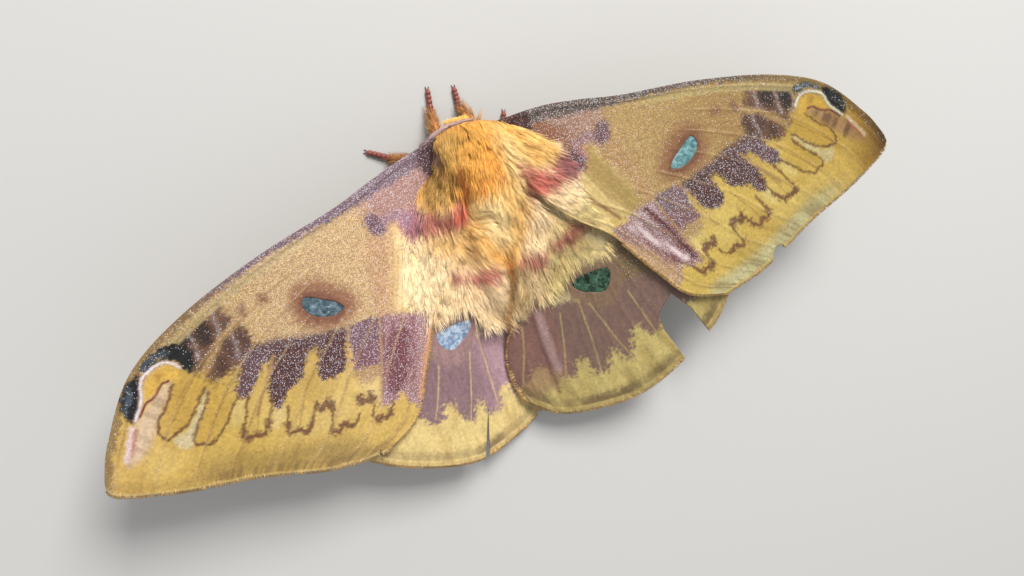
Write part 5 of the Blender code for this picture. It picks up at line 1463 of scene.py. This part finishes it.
def build_skin(material):
    """One closed skin for head, mouth palps, thorax and abdomen, under the hair."""
    points, faces = [], []
    parts = [loft(BODY_STATIONS, 64, 120), loft(HEAD_STATIONS, 48, 40)]
    for side in (-1, 1):
        path = curve_points(np.array(PALP) * (side, 1, 1), np.linspace(0.0, 1.0, 12))
        radii = np.interp(np.linspace(0, 1, 12), [0, 0.4, 0.85, 1], [0.36, 0.34, 0.28, 0.12])
        tube, quads, tips = tube_rings(path, radii, 16)
        parts.append((tube, [tuple(face) for face in quads] + [tuple(face) for face in tips]))
    for part_points, part_faces in parts:
        start = len(points)
        points.extend(part_points.tolist())
        faces.extend(tuple(int(k) + start for k in face) for face in part_faces)
    mesh = bpy.data.meshes.new("skin_form")
    mesh.from_pydata(points, [], faces)
    form = bpy.data.objects.new("skin_form", mesh)
    bpy.context.scene.collection.objects.link(form)
    remesh = form.modifiers.new("one_skin", "REMESH")
    remesh.mode = "VOXEL"
    remesh.voxel_size = 0.2
    smooth = form.modifiers.new("soft", "SMOOTH")
    smooth.iterations = 6
    whole = form.evaluated_get(bpy.context.evaluated_depsgraph_get()).to_mesh()
    place = np.zeros(len(whole.vertices) * 3)
    whole.vertices.foreach_get("co", place)
    place = place.reshape(-1, 3)
    quads = np.array([tuple(face.vertices) for face in whole.polygons])
    bpy.data.objects.remove(form, do_unlink=True)
    middle = body_section(BODY_STATIONS, place[:, 1])[2]
    angle = np.arctan2(place[:, 0], place[:, 2] - middle)
    uv = np.c_[angle / (2 * math.pi) + 0.5, (place[:, 1] + 28.0) / 30.0][quads]
    split = np.ptp(uv[..., 0], axis=1) > 0.5
    uv[split, :, 0] += uv[split, :, 0] < 0.5
    tones = 0.8 * flank_tint(place[:, 1], angle)
    return make_piece("body_skin", place, [quads], material, ["head", "thorax", "abdomen"],
                      tones=tones, loop_uv=uv.reshape(-1, 2) * 0.9)


def tube_rings(path, radii, sides):
    """Points and faces of a closed round tube along a path."""
    path = np.asarray(path, float)
    run = unit(np.gradient(path, axis=0))
    across = unit(np.cross(run[0], np.array([0.05, 0.0, 1.0])))
    turns = np.arange(sides) * 2 * math.pi / sides
    rings = []
    for k, spot in enumerate(path):
        across = unit(across - run[k] * across.dot(run[k]))
        up = np.cross(across, run[k])
        rings.append(spot + radii[k] * (np.outer(np.cos(turns), across) + np.outer(np.sin(turns), up)))
    points = np.concatenate(rings + [path[:1], path[-1:]])
    quads = []
    for k in range(len(path) - 1):
        j = np.arange(sides)
        n = (j + 1) % sides
        quads.append(np.c_[k * sides + j, k * sides + n, (k + 1) * sides + n, (k + 1) * sides + j])
    j = np.arange(sides)
    n = (j + 1) % sides
    last = (len(path) - 1) * sides
    tips = np.concatenate([np.c_[n, j, np.full(sides, len(path) * sides)],
                           np.c_[last + j, last + n, np.full(sides, len(path) * sides + 1)]])
    return points, np.concatenate(quads), tips


def merge_tubes(tubes):
    """One set of points, quads, tips and tones from several tubes with their ring tones."""
    points, quads, tips, tones = [], [], [], []
    start = 0
    for path, radii, sides, ring_tones in tubes:
        p, q, t = tube_rings(path, radii, sides)
        points.append(p)
        quads.append(q + start)
        tips.append(t + start)
        ring_tones = np.asarray(ring_tones, float)
        tones.append(np.concatenate([np.repeat(ring_tones, sides, axis=0), ring_tones[:1], ring_tones[-1:]]))
        start += len(p)
    return np.concatenate(points), np.concatenate(quads), np.concatenate(tips), np.concatenate(tones)


LEGS = {
    "leg_front_left": ((-1.65, 4.3, 0), (-2.05, 1.2, 0), (-2.6, -1.5, 3.1), (-1.7, -4.8, 3.3), 0.9),
    "leg_front_right": ((1.98, 3.7, 0), (1.9, 1.0, 0), (2.6, -1.5, 3.1), (1.7, -4.8, 3.3), 0.9),
    "leg_middle_left": ((-11.9, -1.7, 0), (-9.2, -3.2, 0), (-6.4, -4.4, 3.9), (-2.2, -6.2, 3.6), 0.9),
    "leg_middle_right": ((8.0, -1.1, 0), (6.9, -3.9, 0), (5.9, -5.4, 3.9), (2.2, -6.4, 3.6), 0.9),
    "leg_hind_left": ((-8.6, -21.6, 0), (-7.3, -18.0, 0), (-5.6, -12.8, 3.9), (-2.2, -10.2, 3.6), 1.0),
    "leg_hind_right": ((8.6, -21.2, 0), (7.3, -17.6, 0), (5.6, -12.6, 3.9), (2.2, -10.2, 3.6), 1.0),
}


def leg_line(tip, ankle, knee, hip, thick):
    """Centre line, radii and tones of a leg from its last foot joint to the body."""
    tip, ankle, knee, hip = (np.array(p, float) for p in (tip, ankle, knee, hip))
    path, radii, tones = [], [], []
    for joint in range(5):
        for share, swell in ((0.04, 0.62), (0.16, 0.82), (0.40, 0.95), (0.66, 1.08), (0.84, 1.05), (0.95, 0.70)):
            radius = (0.34 + 0.02 * joint) * swell
            spot = tip + (ankle - tip) * (joint + share) / 5
            path.append([spot[0], spot[1], radius + 0.02])
            radii.append(radius)
            tones.append(blend(RUST, tone(168, 108, 92), ramp(0.85, 0.62, swell) * np.ones(())))
    ankle = np.array([ankle[0], ankle[1], 0.62])
    orange = tone(184, 120, 66)
    for share in np.linspace(0.0, 1.0, 12):
        path.append(ankle + (knee - ankle) * share)
        radii.append(thick * np.interp(share, [0, 0.25, 0.6, 0.92, 1], [0.36, 0.46, 0.60, 0.50, 0.42]))
        tones.append(blend(RUST, orange, ramp(0.0, 0.25, share) * np.ones(())))
    for share in np.linspace(0.08, 1.0, 10):
        path.append(knee + (hip - knee) * share)
        radii.append(thick * np.interp(share, [0, 0.25, 0.6, 1], [0.42, 0.58, 0.66, 0.55]))
        tones.append(orange)
    return np.array(path), np.array(radii), np.array(tones)


def build_leg(name, spec, shell, hair):
    path, radii, tones = leg_line(*spec)
    tubes = [(path, radii, 14, tones)]
    ahead = unit(path[0] - path[4])
    across = np.array([-ahead[1], ahead[0], 0.0])
    for way in (-1, 1):
        claw = [path[0] + across * way * 0.08, path[0] + ahead * 0.22 + across * way * 0.20 + [0, 0, 0.05],
                path[0] + ahead * 0.42 + across * way * 0.24 + [0, 0, -0.02],
                path[0] + ahead * 0.52 + across * way * 0.20 + [0, 0, -0.14]]
        tubes.append((claw, [0.08, 0.065, 0.045, 0.015], 8, [tone(70, 34, 28)] * 4))
    points, quads, tips, shades = merge_tubes(tubes)
    points[:, 2] = np.maximum(points[:, 2], 0.0)
    make_piece(name + "_shell", points, [quads, tips], shell, [name], tones=shades)
    rng = np.random.default_rng(500 + len(name) + int(abs(spec[0][0]) * 10))
    first, last = 31, len(path) - 1
    count = 500
    place = rng.uniform(first, last, count)
    k = np.minimum(place.astype(int), last - 1)
    t = (place - k)[:, None]
    spot = path[k] * (1 - t) + path[k + 1] * t
    size = radii[k] * (1 - t[:, 0]) + radii[k + 1] * t[:, 0]
    run = unit(path[k] - path[k + 1])
    side = unit(np.cross(run, np.array([0.1, 0.2, 1.0])))
    up = np.cross(side, run)
    turn = rng.uniform(0, 2 * math.pi, count)[:, None]
    out = side * np.cos(turn) + up * np.sin(turn)
    outer = np.sign(spec[3][0]) * out[:, :1]
    reach = rng.uniform(0.6, 1.5, count)[:, None] * (1 + 0.8 * np.clip(outer, 0.0, 1.0))
    root = spot + out * (size[:, None] - 0.05)
    lines = np.stack([root, root + (run * 0.45 + out * 0.22) * reach, root + (run * 0.95 + out * 0.38) * reach], axis=1)
    lines[..., 2] = np.maximum(lines[..., 2], 0.06)
    ground = blend(tone(156, 98, 48) * np.ones((count, 3)), tone(206, 154, 92), rng.uniform(0, 1, count))
    shades = np.stack([0.7 * ground, ground, np.minimum(1.1 * ground, 1.0)], axis=1)
    radius = np.tile([0.035, 0.026], (count, 1))
    patch = np.c_[turn[:, 0] / (2 * math.pi), (place - first) / (last - first)] * 0.98
    strand_piece(name + "_hair", lines, radius, shades, patch, hair)


def build_feeler(side, word, shell, hair):
    """Feathered antenna under the wing's front edge: a jointed shaft with two ranks of rays."""
    route = [(1.0, -1.9, 5.9), (2.2, -2.1, 5.9), (3.5, -3.0, 5.8), (5.0, -4.6, 5.7), (7.5, -7.1, 6.0),
             (10.0, -10.2, 6.5)]
    route = np.array(route) * (side, 1, 1)
    steps = np.linspace(0.0, 1.0, 90)
    shaft = curve_points(route, steps)
    joints = 1 + 0.18 * np.cos(np.arange(90) * 2 * math.pi / 3)
    radii = np.interp(steps, [0, 0.06, 0.12, 1], [0.34, 0.34, 0.22, 0.09]) * joints
    ground = tone(196, 146, 92)
    points, quads, tips, shades = merge_tubes([(shaft, radii, 10, [ground] * 90)])
    make_piece("antenna_%s_shaft" % word, points, [quads, tips], shell, ["antenna_" + word], tones=shades)
    pairs = 34
    t = np.repeat(np.linspace(0.20, 0.97, pairs), 2)
    way = np.tile([-1.0, 1.0], pairs)[:, None]
    root = curve_points(route, t)
    ahead = unit(curve_points(route, np.minimum(t + 0.02, 1.0)) - curve_points(route, t - 0.02))
    across = unit(np.cross(ahead, np.array([0.0, 0.0, 1.0])))
    length = (1.5 * np.sin(np.interp(t, [0.2, 0.5, 0.97], [0.5, math.pi / 2, 2.7])))[:, None]
    lean = unit(across * way + ahead * 0.5)
    share = np.array([0.0, 0.3, 0.65, 1.0])
    lines = np.stack([root + lean * length * s + ahead * 0.25 * length * s * s - [0, 0, 0.12 * s * s] for s in share],
                     axis=1)
    tones = ground * np.ones((2 * pairs, 4, 3)) * np.array([0.8, 0.9, 1.0, 1.05])[None, :, None]
    radius = np.tile([0.06, 0.05, 0.035], (2 * pairs, 1))
    patch = np.c_[(way[:, 0] + 1.2) / 2.6, t * 0.98]
    strand_piece("antenna_%s_rays" % word, lines, radius, tones, patch, hair)


def build_eye(side, word, material):
    """Faceted eye: a dense ball slightly flattened to the head, with a ridged rim."""
    rings, sides = 40, 64
    polar = np.linspace(0.0, math.pi, rings + 2)[1:-1]
    around = np.arange(sides) * 2 * math.pi / sides
    pp, aa = np.meshgrid(polar, around, indexing="ij")
    rim = 1 + 0.03 * np.exp(-((pp - 1.75) / 0.12) ** 2)
    ball = EYE_RADIUS * rim[..., None] * np.stack([np.cos(pp) * 0.95, np.sin(pp) * np.cos(aa),
                                                   np.sin(pp) * np.sin(aa)], axis=-1)
    middle = np.array(EYE_PLACE)
    poles = np.array([[0.95 * EYE_RADIUS, 0, 0], [-0.95 * EYE_RADIUS, 0, 0]])
    points = (np.concatenate([ball.reshape(-1, 3), poles]) + middle) * (side, 1, 1)
    i, k = np.meshgrid(np.arange(rings - 1), np.arange(sides), indexing="ij")
    i, k = i.ravel(), k.ravel()
    n = (k + 1) % sides
    quads = np.c_[i * sides + k, (i + 1) * sides + k, (i + 1) * sides + n, i * sides + n]
    k = np.arange(sides)
    n = (k + 1) % sides
    last = (rings - 1) * sides
    tips = np.concatenate([np.c_[k, n, np.full(sides, rings * sides)],
                           np.c_[last + n, last + k, np.full(sides, rings * sides + 1)]])
    blocks = [quads, tips] if side > 0 else [quads[:, ::-1], tips[:, ::-1]]
    make_piece("eye_%s_facets" % word, points, blocks, material, ["eye_" + word])


# Stage


CAMERA_PLACE = (-26.94, -6.74, 110.06)
CAMERA_AIM = (0.51, -23.93, 7.5)
CAMERA_UP = (0.2952, 0.952, -0.0806)
LENS = 28.44


def build_stage():
    floor_half = 1.6
    mesh = bpy.data.meshes.new("floor")
    mesh.from_pydata([(x, y, 0.0) for x, y in ((-1, -1), (1, -1), (1, 1), (-1, 1))], [], [(0, 1, 2, 3)])
    mesh.transform(Matrix.Scale(floor_half, 4))
    floor = bpy.data.objects.new("floor", mesh)
    bpy.context.scene.collection.objects.link(floor)
    material = new_material("floor_paper", 0.85, specular=0.2)
    material.node_tree.nodes["Principled BSDF"].inputs["Base Color"].default_value = (0.36, 0.355, 0.345, 1.0)
    mesh.materials.append(material)
    world = bpy.data.worlds.new("studio")
    world.use_nodes = True
    world.node_tree.nodes["Background"].inputs[0].default_value = (0.97, 0.98, 1.0, 1.0)
    world.node_tree.nodes["Background"].inputs[1].default_value = 0.66
    bpy.context.scene.world = world
    for name, place, size, power, color in (
        ("key", (0.14, 0.28, 0.36), 0.22, 4.1, (1.0, 0.98, 0.95)),
        ("fill", (-0.40, -0.15, 0.40), 0.50, 0.45, (0.92, 0.96, 1.0)),
        ("rear", (0.05, -0.45, 0.30), 0.40, 0.4, (1.0, 1.0, 1.0)),
    ):
        data = bpy.data.lights.new(name, "AREA")
        data.size = size
        data.energy = power
        data.color = color
        lamp = bpy.data.objects.new(name, data)
        lamp.location = place
        lamp.rotation_euler = (-Vector(place)).to_track_quat("-Z", "Y").to_euler()
        bpy.context.scene.collection.objects.link(lamp)
    place = Vector((np.array(CAMERA_PLACE) + SHIFT) * MM)
    aim = Vector((np.array(CAMERA_AIM) + SHIFT) * MM)
    ahead = (aim - place).normalized()
    right = ahead.cross(Vector(CAMERA_UP)).normalized()
    up = right.cross(ahead)
    data = bpy.data.cameras.new("camera")
    data.lens = LENS
    data.sensor_width = 36.0
    data.clip_start = 0.005
    data.clip_end = 20.0
    camera = bpy.data.objects.new("camera", data)
    rotation = Matrix((right, up, -ahead)).transposed().to_4x4()
    camera.matrix_world = Matrix.Translation(place) @ rotation
    bpy.context.scene.collection.objects.link(camera)
    bpy.context.scene.camera = camera
    bpy.context.scene.view_settings.view_transform = "Standard"


for old in list(bpy.data.objects):
    bpy.data.objects.remove(old, do_unlink=True)

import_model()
eye_low, eye_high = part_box("eye_left")
SHIFT = np.array((eye_low + eye_high) / 2) / MM - np.array([-EYE_PLACE[0], EYE_PLACE[1], EYE_PLACE[2]])

build_stage()
scales = wing_material()
hair = coat_material("woolly_hair", 0.6, 0.06, 900.0, 0.0)
skin = coat_material("body_cuticle", 0.7, 0.2, 1800.0, 0.0001)
shell = coat_material("leg_shell", 0.38, 0.0, 2600.0, 0.00004)
# The panes' tones are painted reflections of their surroundings
panes = {
    "forewing_left": pane_material("pane_slate_painted_reflection", tone(96, 114, 124), tone(44, 62, 70), 0.15),
    "forewing_right": pane_material("pane_teal_painted_reflection", tone(116, 152, 154), tone(60, 96, 100), 0.15),
    "hindwing_left": pane_material("pane_silver_painted_reflection", tone(164, 178, 194), tone(90, 110, 136), 0.10),
    "hindwing_right": pane_material("pane_green_painted_reflection", tone(64, 96, 76), tone(4, 24, 10), 0.20),
}
wings = wing_specs()
for wing in wings:
    build_wing(wing, scales)
    build_pane(wing, panes[wing["name"]])
    build_fringe(wing, hair)
build_skin(skin)
build_coats(wings, hair)
for name, spec in LEGS.items():
    build_leg(name, spec, shell, hair)
eye = eye_material()
for side, word in ((-1, "left"), (1, "right")):
    build_feeler(side, word, shell, hair)
    build_eye(side, word, eye)
